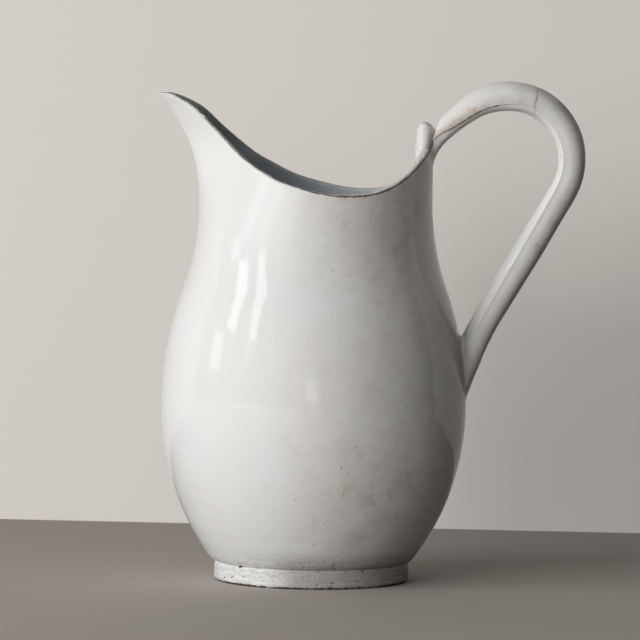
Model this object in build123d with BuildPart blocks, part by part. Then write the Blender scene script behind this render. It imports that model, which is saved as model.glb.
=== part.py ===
"""A wide-bellied ceramic pitcher with a drawn-out spout and one high looped handle.

Built as the potter builds it: a turned foot, a floor, a wall thrown in two lengths, a neck
drawn out to a spout, and a handle made in two lengths and luted on with slip at both ends.

Frame: the vessel stands on z = 0 with its axis on Z. The spout points to -X and the handle
to +X, and the XZ plane cuts the vessel into two like halves. All sizes are in millimetres.
"""

from build123d import *
from math import acos, cos, degrees, pi, radians, sin, sqrt
import os

# Foot and floor
foot_radius = 53.5          # outside of the turned foot
foot_wall = 10.5            # from its outside to the hollow under the floor
foot_height = 10.5          # resting face to the underside of the wall
foot_edge_round = 2.2       # worn outer corner that meets the table
foot_groove = 0.6           # crease between the foot and the wall
floor_thickness = 5.5

# Thrown wall
wall = 4.5
base_step = 1.0             # how far the wall's foot stands out over the turned foot
base_wall = 3.5             # wall beside the floor, at its underside
belly_radius = 84.0
belly_rise = 86.0           # from the foot's top to the widest point
waist_radius = 63.9         # narrowest outside radius, under the rim
waist_rise = 112.5          # from the widest point to the waist
shoulder_share = 0.58       # part of the way from belly to waist where the curve turns hollow
bowl_joint_rise = 24.0      # from the foot's top to the joint of the lower bowl and the wall
scarf_rise = 2.5            # rise of that scarfed joint across the wall
neck_joint_drop = 21.0      # from the waist down to the joint of the wall and the neck

# Neck, rim and spout
rim_wall = 3.6
rim_low_rise = 5.3          # lowest point of the rim, over the waist
rim_low_offset = 18.0       # the same point, from the axis towards the handle
rim_back_rise = 28.2        # rim behind the thumb rest, over its lowest point
spout_rise = 53.3           # tip of the spout, over the rim's lowest point
spout_throw = 27.0          # tip of the spout, outwards from the waist
spout_flare = 3.2           # power by which the front leans out on its way up
spout_lip = 6.5             # level length at the tip of the spout, before it is blunted
spout_blunt = 2.5           # how far the sharp tip is worn back to a blunt one
spout_pinch = 0.65          # how far the flanks are drawn in towards the spout
pinch_rise = 60.0           # height over which the pinch grows to its full depth
mouth_narrowing = 7.9       # loss of half width at the height of the spout's tip
mouth_offset = 8.0          # widest line of the neck up there, towards the handle
neck_steps = 9              # lofted bands of the neck
section_points = 24         # points round one level section of the neck
# The rim climbs to the spout by shares of the run and the rise, and to the handle as a cube
saddle_front = ((0.27, 0.10), (0.51, 0.33), (0.69, 0.62), (0.86, 0.90))
saddle_back = (0.35, 0.65, 0.85, 1.0, 1.15)

# Handle
root_drop = 3.0             # middle of the handle at the neck, under the rim behind it
loop_radius = 34.4          # middle line of the round top of the loop
loop_drop = 9.0             # centre of that round, under the rim's back
loop_offset = 41.6          # the same centre, outwards from the waist
tail_rise = 2.5             # lower tip of the handle, over the belly's widest point
tail_bury = 2.5             # depth of the middle line behind the outline at that tip
limb_end_rise = 51.0        # from that tip to where the straight limb starts to turn down
limb_end_offset = 20.4      # middle of the limb there, outwards from the outline
strap_thickness = 16.2      # at the top of the loop
strap_width = 20.0
limb_thickness = 15.6       # half way down the straight limb
limb_width = 17.0
joint_share = 0.42          # place of the joint between the two lengths, along the round
joint_tilt = 14.0           # turn of that joint from square, in degrees
joint_groove = 0.5

# Thumb rest
thumb_rise = 10.5           # its top, over the rim behind it
thumb_height = 21.0         # from its top to the tip of its stem inside the rim
thumb_depth = 11.6          # from the mouth's side to the handle's side
thumb_width = 17.0
bud_tip_angle = 12.0        # flattening of its two ends, in degrees from the pole
bud_steps = 8

# Luting fillets: slip wiped round the handle where it meets the vessel
root_slip_drop = 13.5       # from the middle of the handle's root to the slip's lower tip
root_slip_width = 26.0
root_slip_height = 20.8
root_slip_leg = 7.5         # width of its sloping edge
root_slip_lift = 3.6        # how far it stands off the neck
tail_slip_width = 20.0
tail_slip_height = 44.2
tail_slip_leg = 3.2
tail_slip_lift = 2.6

# Worked out from the sizes above
belly_height = foot_height + belly_rise
waist_height = belly_height + waist_rise
neck_joint_height = waist_height - neck_joint_drop
rim_low_height = waist_height + rim_low_rise
rim_back_height = rim_low_height + rim_back_rise
spout_height = rim_low_height + spout_rise
base = Vector(foot_radius + base_step, foot_height)
belly = Vector(belly_radius, belly_height)
waist = Vector(waist_radius, waist_height)
floor_edge = Vector(base.X - base_wall, foot_height + floor_thickness)

os.makedirs("parts", exist_ok=True)


def smooth_step(share):
    """Go from 0 to 1 with a level start and a level end."""
    share = min(max(share, 0.0), 1.0)
    return share * share * (3.0 - 2.0 * share)


def upright_arc_radius(upright_end, other_end):
    """Radius of the arc that stands upright at one end and passes through the other."""
    across = abs(other_end.X - upright_end.X)
    along = abs(other_end.Y - upright_end.Y)
    return (across**2 + along**2) / (2.0 * across)


def turn_point(inset):
    """Where the side's outward curve meets its hollow one, on the line from belly to waist."""
    return belly + (waist - belly) * shoulder_share - Vector(inset, 0)


def thrown_side(inset, foot_point):
    """Draw one side of the thrown wall from its foot to the waist as three tangent arcs."""
    TangentArc(belly - Vector(inset, 0), foot_point, tangent=(0, -1))
    shoulder = TangentArc(belly - Vector(inset, 0), turn_point(inset), tangent=(0, 1))
    TangentArc(turn_point(inset), waist - Vector(inset, 0), tangent=shoulder % 1)


def outline_radius(height):
    """Outside radius of those three arcs at a height, and of the waist over them."""
    if height <= belly.Y:
        radius = upright_arc_radius(belly, base)
        return belly.X - radius + sqrt(radius**2 - (belly.Y - height) ** 2)
    if height <= turn_point(0).Y:
        radius = upright_arc_radius(belly, turn_point(0))
        return belly.X - radius + sqrt(radius**2 - (height - belly.Y) ** 2)
    if height <= waist.Y:
        radius = upright_arc_radius(waist, turn_point(0))
        return waist.X + radius - sqrt(radius**2 - (waist.Y - height) ** 2)
    return waist.X


def outline_normal(height):
    """Outward direction of the vessel's side at a height, on the handle's side."""
    widening = outline_radius(height + wall) - outline_radius(height - wall)
    return Vector(2 * wall, 0, -widening).normalized()


def neck_wall(height):
    """Wall of the neck: as thick as the body's at the joint, thinner at the rim."""
    rise = (height - neck_joint_height) / (rim_low_height - neck_joint_height)
    return wall + (rim_wall - wall) * smooth_step(rise)


def neck_section(height, inset):
    """Level section of the neck: round behind, drawn to a blunt point at the spout.

    The flank is an ellipse whose half width is taken in by the square of the way to the
    front. The inset draws the inside of the wall.
    """
    rise = (height - neck_joint_height) / (spout_height - neck_joint_height)
    pinch = spout_pinch * smooth_step((height - neck_joint_height) / pinch_rise)
    middle = mouth_offset * smooth_step(rise)
    back = outline_radius(height) - inset
    front = back + spout_throw * rise**spout_flare
    side = back - mouth_narrowing * smooth_step(rise)
    points = []
    for step in range(section_points):
        angle = 2.0 * pi * step / section_points
        way = cos(angle)
        if way >= 0.0:
            points.append((middle + (back - middle) * way, side * sin(angle)))
        else:
            drawn_in = 1.0 - pinch * way**2
            points.append((middle + (front + middle) * way, side * sin(angle) * drawn_in))
    with BuildSketch(Plane.XY.offset(height)) as section:
        with BuildLine():
            Spline(points, periodic=True)
        make_face()
    return section.sketch


def rim_line():
    """Draw the saddle-shaped rim, seen from the side, and return its two ends.

    It has a blunt tip, a level lip at the spout, a dip, and a climb to the handle.
    """
    low = Vector(rim_low_offset, rim_low_height)
    to_lip = Vector(spout_lip - spout_throw - waist_radius, spout_height) - low
    to_back = Vector(waist_radius, rim_back_height) - low
    front = [low + Vector(to_lip.X * way, to_lip.Y * up) for way, up in saddle_front]
    back = [low + Vector(to_back.X * way, to_back.Y * way**3) for way in saddle_back]
    climb = Vector(to_back.X, 3 * to_back.Y * saddle_back[-1] ** 2)
    lip = low + to_lip
    tip = lip - Vector(spout_lip - spout_blunt, 0)
    under_tip = tip - Vector(0, 2 * spout_lip)
    Polyline(under_tip, tip, lip)
    Spline(lip, *reversed(front), low, *back, tangents=[(1, 0), climb])
    return under_tip, back[-1]


def touch_point(point, centre, radius, side):
    """Where the line from a point touches a circle of the XZ plane, on either side (1 or -1)."""
    away = point - centre
    turn = side * degrees(acos(radius / away.length))
    return centre + away.normalized().rotate(Axis.Y, turn) * radius


def handle_section(edge, share, thickness, width, tilt=0.0):
    """Oval section across the handle's middle line, a share of the way along one edge."""
    along = (edge % share).rotate(Axis.Y, tilt)
    with BuildSketch(Plane(edge @ share, x_dir=(0, 1, 0), z_dir=along)) as section:
        Ellipse(width / 2, thickness / 2)
    return section.sketch


def slip_pad(origin, outward, width, height, leg, lift):
    """Sections of an oval pad that stands on the wall, its edge sloping in by the leg."""
    sections = []
    for step, shrink in ((-2 * lift, 0.0), (0.0, 0.0), (lift, leg)):
        with BuildSketch(Plane(origin, x_dir=(0, 1, 0), z_dir=outward).offset(step)) as section:
            Ellipse(width / 2 - shrink, height / 2 - shrink)
        sections.append(section.sketch)
    return sections


# The foot: a turned ring, hollow under the floor, its lower corner worn round
with BuildPart() as foot_ring:
    with BuildSketch(Plane.XY):
        Circle(foot_radius)
        Circle(foot_radius - foot_wall, mode=Mode.SUBTRACT)
    extrude(amount=foot_height)
    rings = foot_ring.edges().filter_by(GeomType.CIRCLE)
    fillet(rings.group_by(Axis.Z)[0].sort_by(SortBy.RADIUS)[-1], foot_edge_round)
    rings = foot_ring.edges().filter_by(GeomType.CIRCLE)
    chamfer(rings.group_by(Axis.Z)[-1].sort_by(SortBy.RADIUS)[-1], foot_groove)
foot_ring.part.label = "foot_ring"
export_step(foot_ring.part, "parts/foot_ring.step")

# The floor: a disc on the foot, inside the wall
with BuildPart() as floor_disc:
    with BuildSketch(Plane.XY.offset(foot_height)):
        Circle(floor_edge.X)
    extrude(amount=floor_thickness)
floor_disc.part.label = "floor_disc"
export_step(floor_disc.part, "parts/floor_disc.step")

# Half section of the thrown wall, from the foot to the waist, and where it is joined
with BuildSketch(Plane.XZ) as wall_section:
    with BuildLine():
        thrown_side(0, base)
        thrown_side(wall, floor_edge)
        Line(waist, waist - Vector(wall, 0))
        Polyline(floor_edge, (floor_edge.X, foot_height), base)
    make_face()
bowl_joint_height = foot_height + bowl_joint_rise
bowl_joint = Plane(
    origin=(outline_radius(bowl_joint_height), bowl_joint_height), z_dir=(scarf_rise / wall, 1, 0)
)
neck_joint = Plane(origin=(0, neck_joint_height), z_dir=(0, 1, 0))

# The lower bowl: the first length of the wall, up to the scarfed joint
with BuildPart() as lower_bowl:
    with BuildSketch(Plane.XZ):
        add(wall_section.sketch_local)
        split(bisect_by=bowl_joint, keep=Keep.BOTTOM)
    revolve(axis=Axis.Z)
lower_bowl.part.label = "lower_bowl"
export_step(lower_bowl.part, "parts/lower_bowl.step")

# The body wall: the second length, belly and shoulder, up to the neck
with BuildPart() as body_wall:
    with BuildSketch(Plane.XZ):
        add(wall_section.sketch_local)
        split(bisect_by=bowl_joint, keep=Keep.TOP)
        split(bisect_by=neck_joint, keep=Keep.BOTTOM)
    revolve(axis=Axis.Z)
body_wall.part.label = "body_wall"
export_step(body_wall.part, "parts/body_wall.step")

# The outsides of the thrown wall and of the uncut neck, which trim what is luted to them
with BuildPart() as body_outside:
    with BuildSketch(Plane.XZ):
        with BuildLine():
            thrown_side(0, base)
            Polyline(waist, (0, waist_height), (0, foot_height), base)
        make_face()
        split(bisect_by=neck_joint, keep=Keep.BOTTOM)
    revolve(axis=Axis.Z)

band_height = (spout_height + rim_wall - neck_joint_height) / neck_steps
neck_levels = [neck_joint_height + band_height * step for step in range(neck_steps + 1)]
with BuildPart() as neck_outside:
    loft(sections=[neck_section(level, 0.0) for level in neck_levels])

# The neck collar: drawn out to the spout, and cut to the saddle of the rim
with BuildPart() as neck_collar:
    add(neck_outside.part)
    inner_sections = [neck_section(level, neck_wall(level)) for level in neck_levels]
    loft(sections=inner_sections, mode=Mode.SUBTRACT)
    with BuildSketch(Plane.XZ):
        with BuildLine():
            under_tip, back_end = rim_line()
            before_tip = under_tip - Vector(belly_radius, 0)
            above = Vector(0, 2 * spout_height)
            Polyline(back_end, back_end + above, before_tip + above, before_tip, under_tip)
        make_face()
    extrude(amount=2 * belly_radius, both=True, mode=Mode.SUBTRACT)
neck_collar.part.label = "neck_collar"
export_step(neck_collar.part, "parts/neck_collar.step")

# The handle's middle line: a straight root, the round of the loop, a straight limb and a tail
tail_height = belly_height + tail_rise
limb_end_height = tail_height + limb_end_rise
root_start = Vector(waist_radius - wall / 2, 0, rim_back_height - root_drop)
loop_centre = Vector(waist_radius + loop_offset, 0, rim_back_height - loop_drop)
limb_end = Vector(outline_radius(limb_end_height) + limb_end_offset, 0, limb_end_height)
tail_end = Vector(outline_radius(tail_height) - tail_bury, 0, tail_height)
root_touch = touch_point(root_start, loop_centre, loop_radius, 1)
limb_touch = touch_point(limb_end, loop_centre, loop_radius, -1)
with BuildLine(Plane.XZ) as handle_line:
    root = Line(root_start, root_touch)
    loop_round = ThreePointArc(root_touch, loop_centre + Vector(loop_radius, 0, 0), limb_touch)
    limb = Line(limb_touch, limb_end)
    tail = TangentArc(limb_end, tail_end, tangent=limb_end - limb_touch)

# Oval sections along it: edge, share of that edge, and shares of the thickness and the width
strap_shape = (
    (root, 0.0, 0.95, 1.10),
    (root, 0.35, 0.72, 0.95),
    (root, 0.7, 0.80, 0.90),
    (root, 1.0, 0.89, 0.93),
    (loop_round, 0.15, 0.97, 0.98),
    (loop_round, 0.28, 1.0, 1.0),
)
limb_shape = (
    (loop_round, 0.55, 0.97, 1.05),
    (loop_round, 0.7, 0.95, 1.02),
    (loop_round, 0.85, 0.95, 1.0),
    (limb, 0.0, 0.97, 1.0),
    (limb, 0.5, 1.0, 1.0),
    (limb, 1.0, 0.97, 0.97),
    (tail, 0.35, 0.95, 0.95),
    (tail, 0.7, 0.80, 0.80),
    (tail, 1.0, 0.45, 0.45),
)
strap_sections = [
    handle_section(edge, share, deep * strap_thickness, broad * strap_width)
    for edge, share, deep, broad in strap_shape
]
limb_sections = [
    handle_section(edge, share, deep * limb_thickness, broad * limb_width)
    for edge, share, deep, broad in limb_shape
]
joint_thickness = (strap_thickness + limb_thickness) / 2
joint_width = (strap_width + limb_width) / 2
joint_section = handle_section(loop_round, joint_share, joint_thickness, joint_width, joint_tilt)
joint_middle = loop_round @ joint_share

# The handle's upper length: a strap from the neck over the top of the loop
with BuildPart() as handle_strap:
    loft(sections=[*strap_sections, joint_section])
    chamfer(handle_strap.faces().sort_by_distance(joint_middle)[0].edges(), joint_groove)
    add(neck_outside.part, mode=Mode.SUBTRACT)
handle_strap.part.label = "handle_strap"
export_step(handle_strap.part, "parts/handle_strap.step")

# The handle's lower length: round the bend and down to a tail pressed on the belly
with BuildPart() as handle_limb:
    loft(sections=[joint_section, *limb_sections])
    chamfer(handle_limb.faces().sort_by_distance(joint_middle)[0].edges(), joint_groove)
    add(body_outside.part, mode=Mode.SUBTRACT)
handle_limb.part.label = "handle_limb"
export_step(handle_limb.part, "parts/handle_limb.step")

# The thumb rest: a bud of clay on the rim, against the root of the handle
bud_sections = []
for step in range(bud_steps + 1):
    angle = radians(bud_tip_angle + (180 - 2 * bud_tip_angle) * step / bud_steps)
    drop = thumb_height * (1 - cos(angle) / cos(radians(bud_tip_angle))) / 2
    level = rim_back_height + thumb_rise - drop
    with BuildSketch(Plane((waist_radius - rim_wall, 0, level))) as bud_section:
        Ellipse(thumb_depth / 2 * sin(angle), thumb_width / 2 * sin(angle))
    bud_sections.append(bud_section.sketch)
with BuildPart() as thumb_rest:
    loft(sections=bud_sections)
    add(neck_outside.part, mode=Mode.INTERSECT)
    add(neck_collar.part, mode=Mode.SUBTRACT)
thumb_rest.part.label = "thumb_rest"
export_step(thumb_rest.part, "parts/thumb_rest.step")

# Slip wiped into the corner under the root of the handle
root_slip_height_middle = root_start.Z - root_slip_drop + root_slip_height / 2
root_slip_origin = Vector(waist_radius, 0, root_slip_height_middle)
with BuildPart() as root_fillet:
    loft(
        sections=slip_pad(
            root_slip_origin, (1, 0, 0), root_slip_width, root_slip_height, root_slip_leg,
            root_slip_lift,
        )
    )
    add(neck_outside.part, mode=Mode.SUBTRACT)
    add(handle_strap.part, mode=Mode.SUBTRACT)
root_fillet.part.label = "root_fillet"
export_step(root_fillet.part, "parts/root_fillet.step")

# Slip wiped round the tail of the handle on the belly
tail_slip_level = tail_height - tail_slip_lift + tail_slip_height / 2
tail_slip_origin = Vector(outline_radius(tail_slip_level), 0, tail_slip_level)
with BuildPart() as tail_fillet:
    loft(
        sections=slip_pad(
            tail_slip_origin, outline_normal(tail_slip_level), tail_slip_width, tail_slip_height,
            tail_slip_leg, tail_slip_lift,
        )
    )
    add(body_outside.part, mode=Mode.SUBTRACT)
    add(handle_limb.part, mode=Mode.SUBTRACT)
tail_fillet.part.label = "tail_fillet"
export_step(tail_fillet.part, "parts/tail_fillet.step")
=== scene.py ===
"""A glazed ceramic pitcher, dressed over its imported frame.

The thrown vessel is one skin, a function of the angle round its axis and the way along its
profile. The skin is shared out among the foot, the floor, the bowl, the body and the neck, so
that no seam shows between them. The handle, the thumb rest and the slip at the handle's two
ends are profiles carried along a path. All lengths are in metres.
"""

import logging
import math
from dataclasses import dataclass, field
from enum import Enum
from itertools import product

import bpy
import numpy as np
from mathutils import Matrix, Vector


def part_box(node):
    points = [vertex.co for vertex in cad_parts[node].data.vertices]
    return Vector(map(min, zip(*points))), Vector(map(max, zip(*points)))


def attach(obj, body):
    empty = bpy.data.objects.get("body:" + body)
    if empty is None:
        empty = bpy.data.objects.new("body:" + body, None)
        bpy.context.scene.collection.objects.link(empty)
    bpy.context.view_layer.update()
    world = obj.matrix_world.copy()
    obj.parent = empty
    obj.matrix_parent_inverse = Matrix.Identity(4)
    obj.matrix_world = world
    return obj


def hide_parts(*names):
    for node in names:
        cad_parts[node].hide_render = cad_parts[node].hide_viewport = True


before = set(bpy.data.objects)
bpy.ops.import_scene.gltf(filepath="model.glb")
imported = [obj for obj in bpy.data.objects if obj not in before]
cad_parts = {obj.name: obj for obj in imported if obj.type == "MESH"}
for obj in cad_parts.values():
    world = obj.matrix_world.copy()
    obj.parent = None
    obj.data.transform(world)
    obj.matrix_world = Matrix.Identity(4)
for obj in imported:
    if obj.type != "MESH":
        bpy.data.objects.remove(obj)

Array = np.ndarray
Table = tuple[float, ...]
Triple = tuple[float, float, float]
Span = tuple[float, float]
MM = 0.001
LOW = {node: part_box(node)[0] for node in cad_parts}
HIGH = {node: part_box(node)[1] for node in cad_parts}
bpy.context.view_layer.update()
BODY = "root"
HILL_GAIN = 1.5
SAME_POINT = 1e-9
NO_LENGTH = 1e-12

log = logging.getLogger("pitcher")


class Mask(Enum):
    """What a surface point carries for its finish.

    Each is a share from 0 to 1, except that the handle's stain goes on to nearly 2.
    """

    WEAR = "wear"
    LINE = "line"
    # The inside, painted a cooler, darker tint that stands for the dim light within
    INNER = "inner"
    # Crawled glaze on the foot; on the handle and the bud, painted shade where shade falls, with
    # some soiling
    CRAWL = "crawl"
    # Unglazed clay at pits, seams and the foot's edge, and painted shade in creases round the slip
    # and at the foot's contact
    CAVITY = "cavity"
    # Stains outside, which also place the foot's darker soiling, in part painted shade; inside,
    # painted shade towards the spout
    STAIN = "stain"


class Slot(Enum):
    """Names of the two glaze finishes."""

    GLAZE = "white_glaze"
    FOOT = "foot_glaze"


# ---------------------------------------------------------------------------------------------
# Plain functions of arrays, and the three kinds of mark that are made of them


def mm(*lengths: float) -> Table:
    """Lengths that are given in millimetres, in metres."""
    return tuple(length * MM for length in lengths)


def smooth_step(share: Array) -> Array:
    """Go from 0 to 1 with a level start and end: 3 t squared less 2 t cubed, held outside 0..1.

    Args:
        share: how far along the step each value is.

    Returns:
        The eased share.
    """
    held = np.clip(share, 0.0, 1.0)
    return held * held * (3.0 - 2.0 * held)


def bell(distance: Array, width: float) -> Array:
    """A rounded bump of height 1: e to the minus square of the distance over the width."""
    return np.exp(-((distance / width) ** 2))


def smooth_through(at: Array, places: Table, values: Table) -> Array:
    """A curve through a few points that never swings past them.

    Each span is a cubic. Its slope at a point is the harmonic mean of the slopes on both sides,
    and nothing where the curve turns back.

    Args:
        at: where the curve is read.
        places: rising places of the points.
        values: the curve's value at each place.

    Returns:
        The curve's value at each place asked for.
    """
    x, y = np.asarray(places, float), np.asarray(values, float)
    span = np.diff(x)
    slope = np.diff(y) / span
    both = slope[:-1] * slope[1:]
    turning = np.where(both > 0, 2 * both / np.where(both > 0, slope[:-1] + slope[1:], 1.0), 0.0)
    tangent = np.concatenate([slope[:1], turning, slope[-1:]])
    part = np.clip(np.searchsorted(x, at) - 1, 0, len(span) - 1)
    t = np.clip((at - x[part]) / span[part], 0.0, 1.0)
    start = y[part] * (1 + 2 * t) * (1 - t) ** 2 + span[part] * tangent[part] * t * (1 - t) ** 2
    end = y[part + 1] * t**2 * (3 - 2 * t) - span[part] * tangent[part + 1] * t**2 * (1 - t)
    return start + end


def corner_slopes(corner: Array, seed: int) -> Array:
    """A fixed random slope for each corner of a lattice, from its whole-number place.

    The place is folded into one number, which is mixed by shifts and multiplications; three
    runs of its bits give the slope's three parts.

    Args:
        corner: whole-number places, (..., 3).
        seed: another number gives another lattice.

    Returns:
        Slopes of the same shape, each part from -1 to 1.
    """
    word, run = np.uint64(0xFFFFFFFF), 1023
    origin, seed_factor = 1 << 20, 40503
    axis_factors = (73856093, 19349663, 83492791)
    mixers = ((15, 2246822519), (13, 3266489917))
    place = (corner + origin).astype(np.uint64)
    mixed = sum(place[..., axis] * np.uint64(axis_factors[axis]) for axis in range(3))
    mixed = (mixed + np.uint64(seed * seed_factor)) & word
    for shift, factor in mixers:
        mixed = ((mixed ^ (mixed >> np.uint64(shift))) * np.uint64(factor)) & word
    parts = [(mixed >> np.uint64(shift)) & np.uint64(run) for shift in (0, 11, 21)]
    return np.stack(parts, axis=-1).astype(float) * (2.0 / run) - 1.0


@dataclass(frozen=True)
class Hills:
    """Random hills over space: the side of their lattice's cubes, and the lattice's number.

    They rise and fall from the level by about the gain. A squash below 1 draws them out along
    that axis.
    """

    cell: float
    seed: int
    gain: float = 1.0
    level: float = 0.0
    squash: Triple = (1.0, 1.0, 1.0)

    def at(self, points: Array) -> Array:
        """Smooth random heights.

        Every corner of a cubic lattice has a random slope. A point takes the mean of its eight
        corners' sloping planes, weighted by quintic steps along the three axes.

        Args:
            points: places, (..., 3), in metres.

        Returns:
            The height of the hills at each point.
        """
        scaled = points * self.squash / self.cell
        corner = np.floor(scaled).astype(np.int64)
        offset = scaled - corner
        eased = offset**3 * (offset * (offset * 6.0 - 15.0) + 10.0)
        total = np.zeros(points.shape[:-1])
        for step in product((0, 1), repeat=3):
            step = np.array(step)
            weight = np.where(step == 1, eased, 1.0 - eased).prod(axis=-1)
            slopes = corner_slopes(corner + step, self.seed)
            total += weight * (slopes * (offset - step)).sum(axis=-1)
        return self.level + self.gain * (HILL_GAIN * total)


@dataclass(frozen=True)
class Band:
    """A rounded bump along a measure: where its middle is, and how wide and how high it is."""

    middle: float
    width: float
    height: float = 1.0

    def at(self, measure: Array) -> Array:
        """The band's height at each value of the measure."""
        return self.height * bell(measure - self.middle, self.width)


@dataclass(frozen=True)
class Fade:
    """A smooth step along a measure: where it leaves 0, the run it takes, and its height."""

    start: float
    run: float
    height: float = 1.0

    def at(self, measure: Array) -> Array:
        """The step's height at each value of the measure; a run below 0 goes the other way."""
        return self.height * smooth_step((measure - self.start) / self.run)


def unit(vectors: Array) -> Array:
    """Vectors of length 1 along the last axis; one of no length stays as it is."""
    length = np.linalg.norm(vectors, axis=-1, keepdims=True)
    return vectors / np.where(length > NO_LENGTH, length, 1.0)


def grid_normals(points: Array) -> Array:
    """Normals of a grid that closes round its columns.

    The normal is the cross product of the step to the next column and the step to the next
    row, each taken as the difference of the neighbours on both sides.

    Args:
        points: (rows, columns, 3).

    Returns:
        Unit normals of the same shape.
    """
    across = np.roll(points, -1, axis=1) - np.roll(points, 1, axis=1)
    along = np.gradient(points, axis=0)
    return unit(np.cross(across, along))


def upright_arc_radius(across: float, along: float) -> float:
    """Radius of an arc that stands upright at one end and leaves it by these two distances."""
    return (across**2 + along**2) / (2.0 * across)


# ---------------------------------------------------------------------------------------------
# Grids and meshes


@dataclass
class Grid:
    """Rows of points that close round their columns, with normals and masks.

    A row whose points all coincide is a pole.
    """

    points: Array
    normals: Array
    masks: dict[Mask, Array]

    @classmethod
    def of(cls, points: Array, **masks: Array) -> "Grid":
        """Make a grid with normals from its own points and any masks named by keyword.

        Args:
            points: (rows, columns, 3).
            **masks: arrays that fill (rows, columns) when they are repeated, by the mask's value.

        Returns:
            The grid, with the masks that weren't named at 0.
        """
        blank = np.zeros(points.shape[:2])
        full = {mask: np.broadcast_to(masks.get(mask.value, blank), blank.shape) for mask in Mask}
        return cls(points, grid_normals(points), full)

    def rows(self, first: int, last: int) -> "Grid":
        """Take some of the rows.

        Args:
            first: number of the first row.
            last: number of the last row, which is included.

        Returns:
            A grid of those rows.
        """
        part = slice(first, last + 1)
        masks = {mask: values[part] for mask, values in self.masks.items()}
        return Grid(self.points[part], self.normals[part], masks)

    @classmethod
    def hidden(cls, points: Array) -> "Grid":
        """Rows with no normals of their own, for faces that are hidden in a joint."""
        blank = np.zeros(points.shape[:2])
        return cls(points, np.zeros_like(points), {mask: blank for mask in Mask})


def cap(row: Array) -> Grid:
    """A pole in the middle of a row of points, which closes the end of a tube."""
    return Grid.hidden(np.broadcast_to(row.mean(axis=0), row.shape)[None])


def linked(name: str, data: bpy.types.ID) -> bpy.types.Object:
    """Make an object of a mesh, a lamp or a lens, and put it in the scene.

    Args:
        name: the object's name.
        data: what it shows.

    Returns:
        The object, at the origin.
    """
    item = bpy.data.objects.new(name, data)
    bpy.context.scene.collection.objects.link(item)
    return item


def lay_mesh(name: str, runs: list[Grid], closes: bool) -> bpy.types.Object:
    """Make one closed mesh of several runs of rows.

    Neighbouring rows are joined by faces, within a run and from one run to the next, and the
    last row is joined to the first if the profile closes. Inside a run the faces keep the
    grid's own normals, so that a surface shared by two pieces shades as one. Poles become one
    point with a fan of triangles.

    Args:
        name: the piece's name.
        runs: grids with the same number of columns, in order along the profile.
        closes: whether the profile is a loop.

    Returns:
        The new object, linked to the scene, at the origin.
    """
    points = np.concatenate([run.points for run in runs])
    normals = np.concatenate([run.normals for run in runs])
    run_of = np.repeat(np.arange(len(runs)), [len(run.points) for run in runs])
    rows, columns = points.shape[:2]
    pole = np.ptp(points, axis=1).max(axis=1) < SAME_POINT
    first = np.concatenate([[0], np.cumsum(np.where(pole, 1, columns))])[:-1]
    number = first[:, None] + np.where(pole[:, None], 0, np.arange(columns))
    kept = ~pole[:, None] | (np.arange(columns) == 0)

    here = np.arange(rows if closes else rows - 1)
    there = (here + 1) % rows
    after = np.roll(np.arange(columns), -1)
    same_run = (run_of[here] == run_of[there]) & (there > here)
    corners = np.stack(
        [number[here], number[here][:, after], number[there][:, after], number[there]], axis=-1
    )
    shading = np.stack(
        [normals[here], normals[here][:, after], normals[there][:, after], normals[there]], axis=2
    )
    shading = shading * same_run[:, None, None, None]
    used = np.ones(corners.shape, bool)
    used[pole[here], :, 1] = False
    used[pole[there], :, 3] = False

    mesh = bpy.data.meshes.new(name)
    vertices = points[kept]
    mesh.vertices.add(len(vertices))
    mesh.vertices.foreach_set("co", vertices.astype(np.float32).ravel())
    mesh.loops.add(int(used.sum()))
    mesh.loops.foreach_set("vertex_index", corners[used].astype(np.int32))
    sides = used.sum(axis=-1).ravel()
    mesh.polygons.add(len(sides))
    starts = np.concatenate([[0], np.cumsum(sides)[:-1]])
    mesh.polygons.foreach_set("loop_start", starts.astype(np.int32))
    mesh.polygons.foreach_set("use_smooth", np.ones(len(sides), bool))
    mesh.update(calc_edges=True)
    mesh.normals_split_custom_set(shading[used].tolist())
    for mask in Mask:
        values = np.concatenate([run.masks[mask] for run in runs])[kept]
        attribute = mesh.attributes.new(mask.value, "FLOAT", "POINT")
        attribute.data.foreach_set("value", values.astype(np.float32))
    return linked(name, mesh)


# ---------------------------------------------------------------------------------------------
# The thrown vessel


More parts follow.
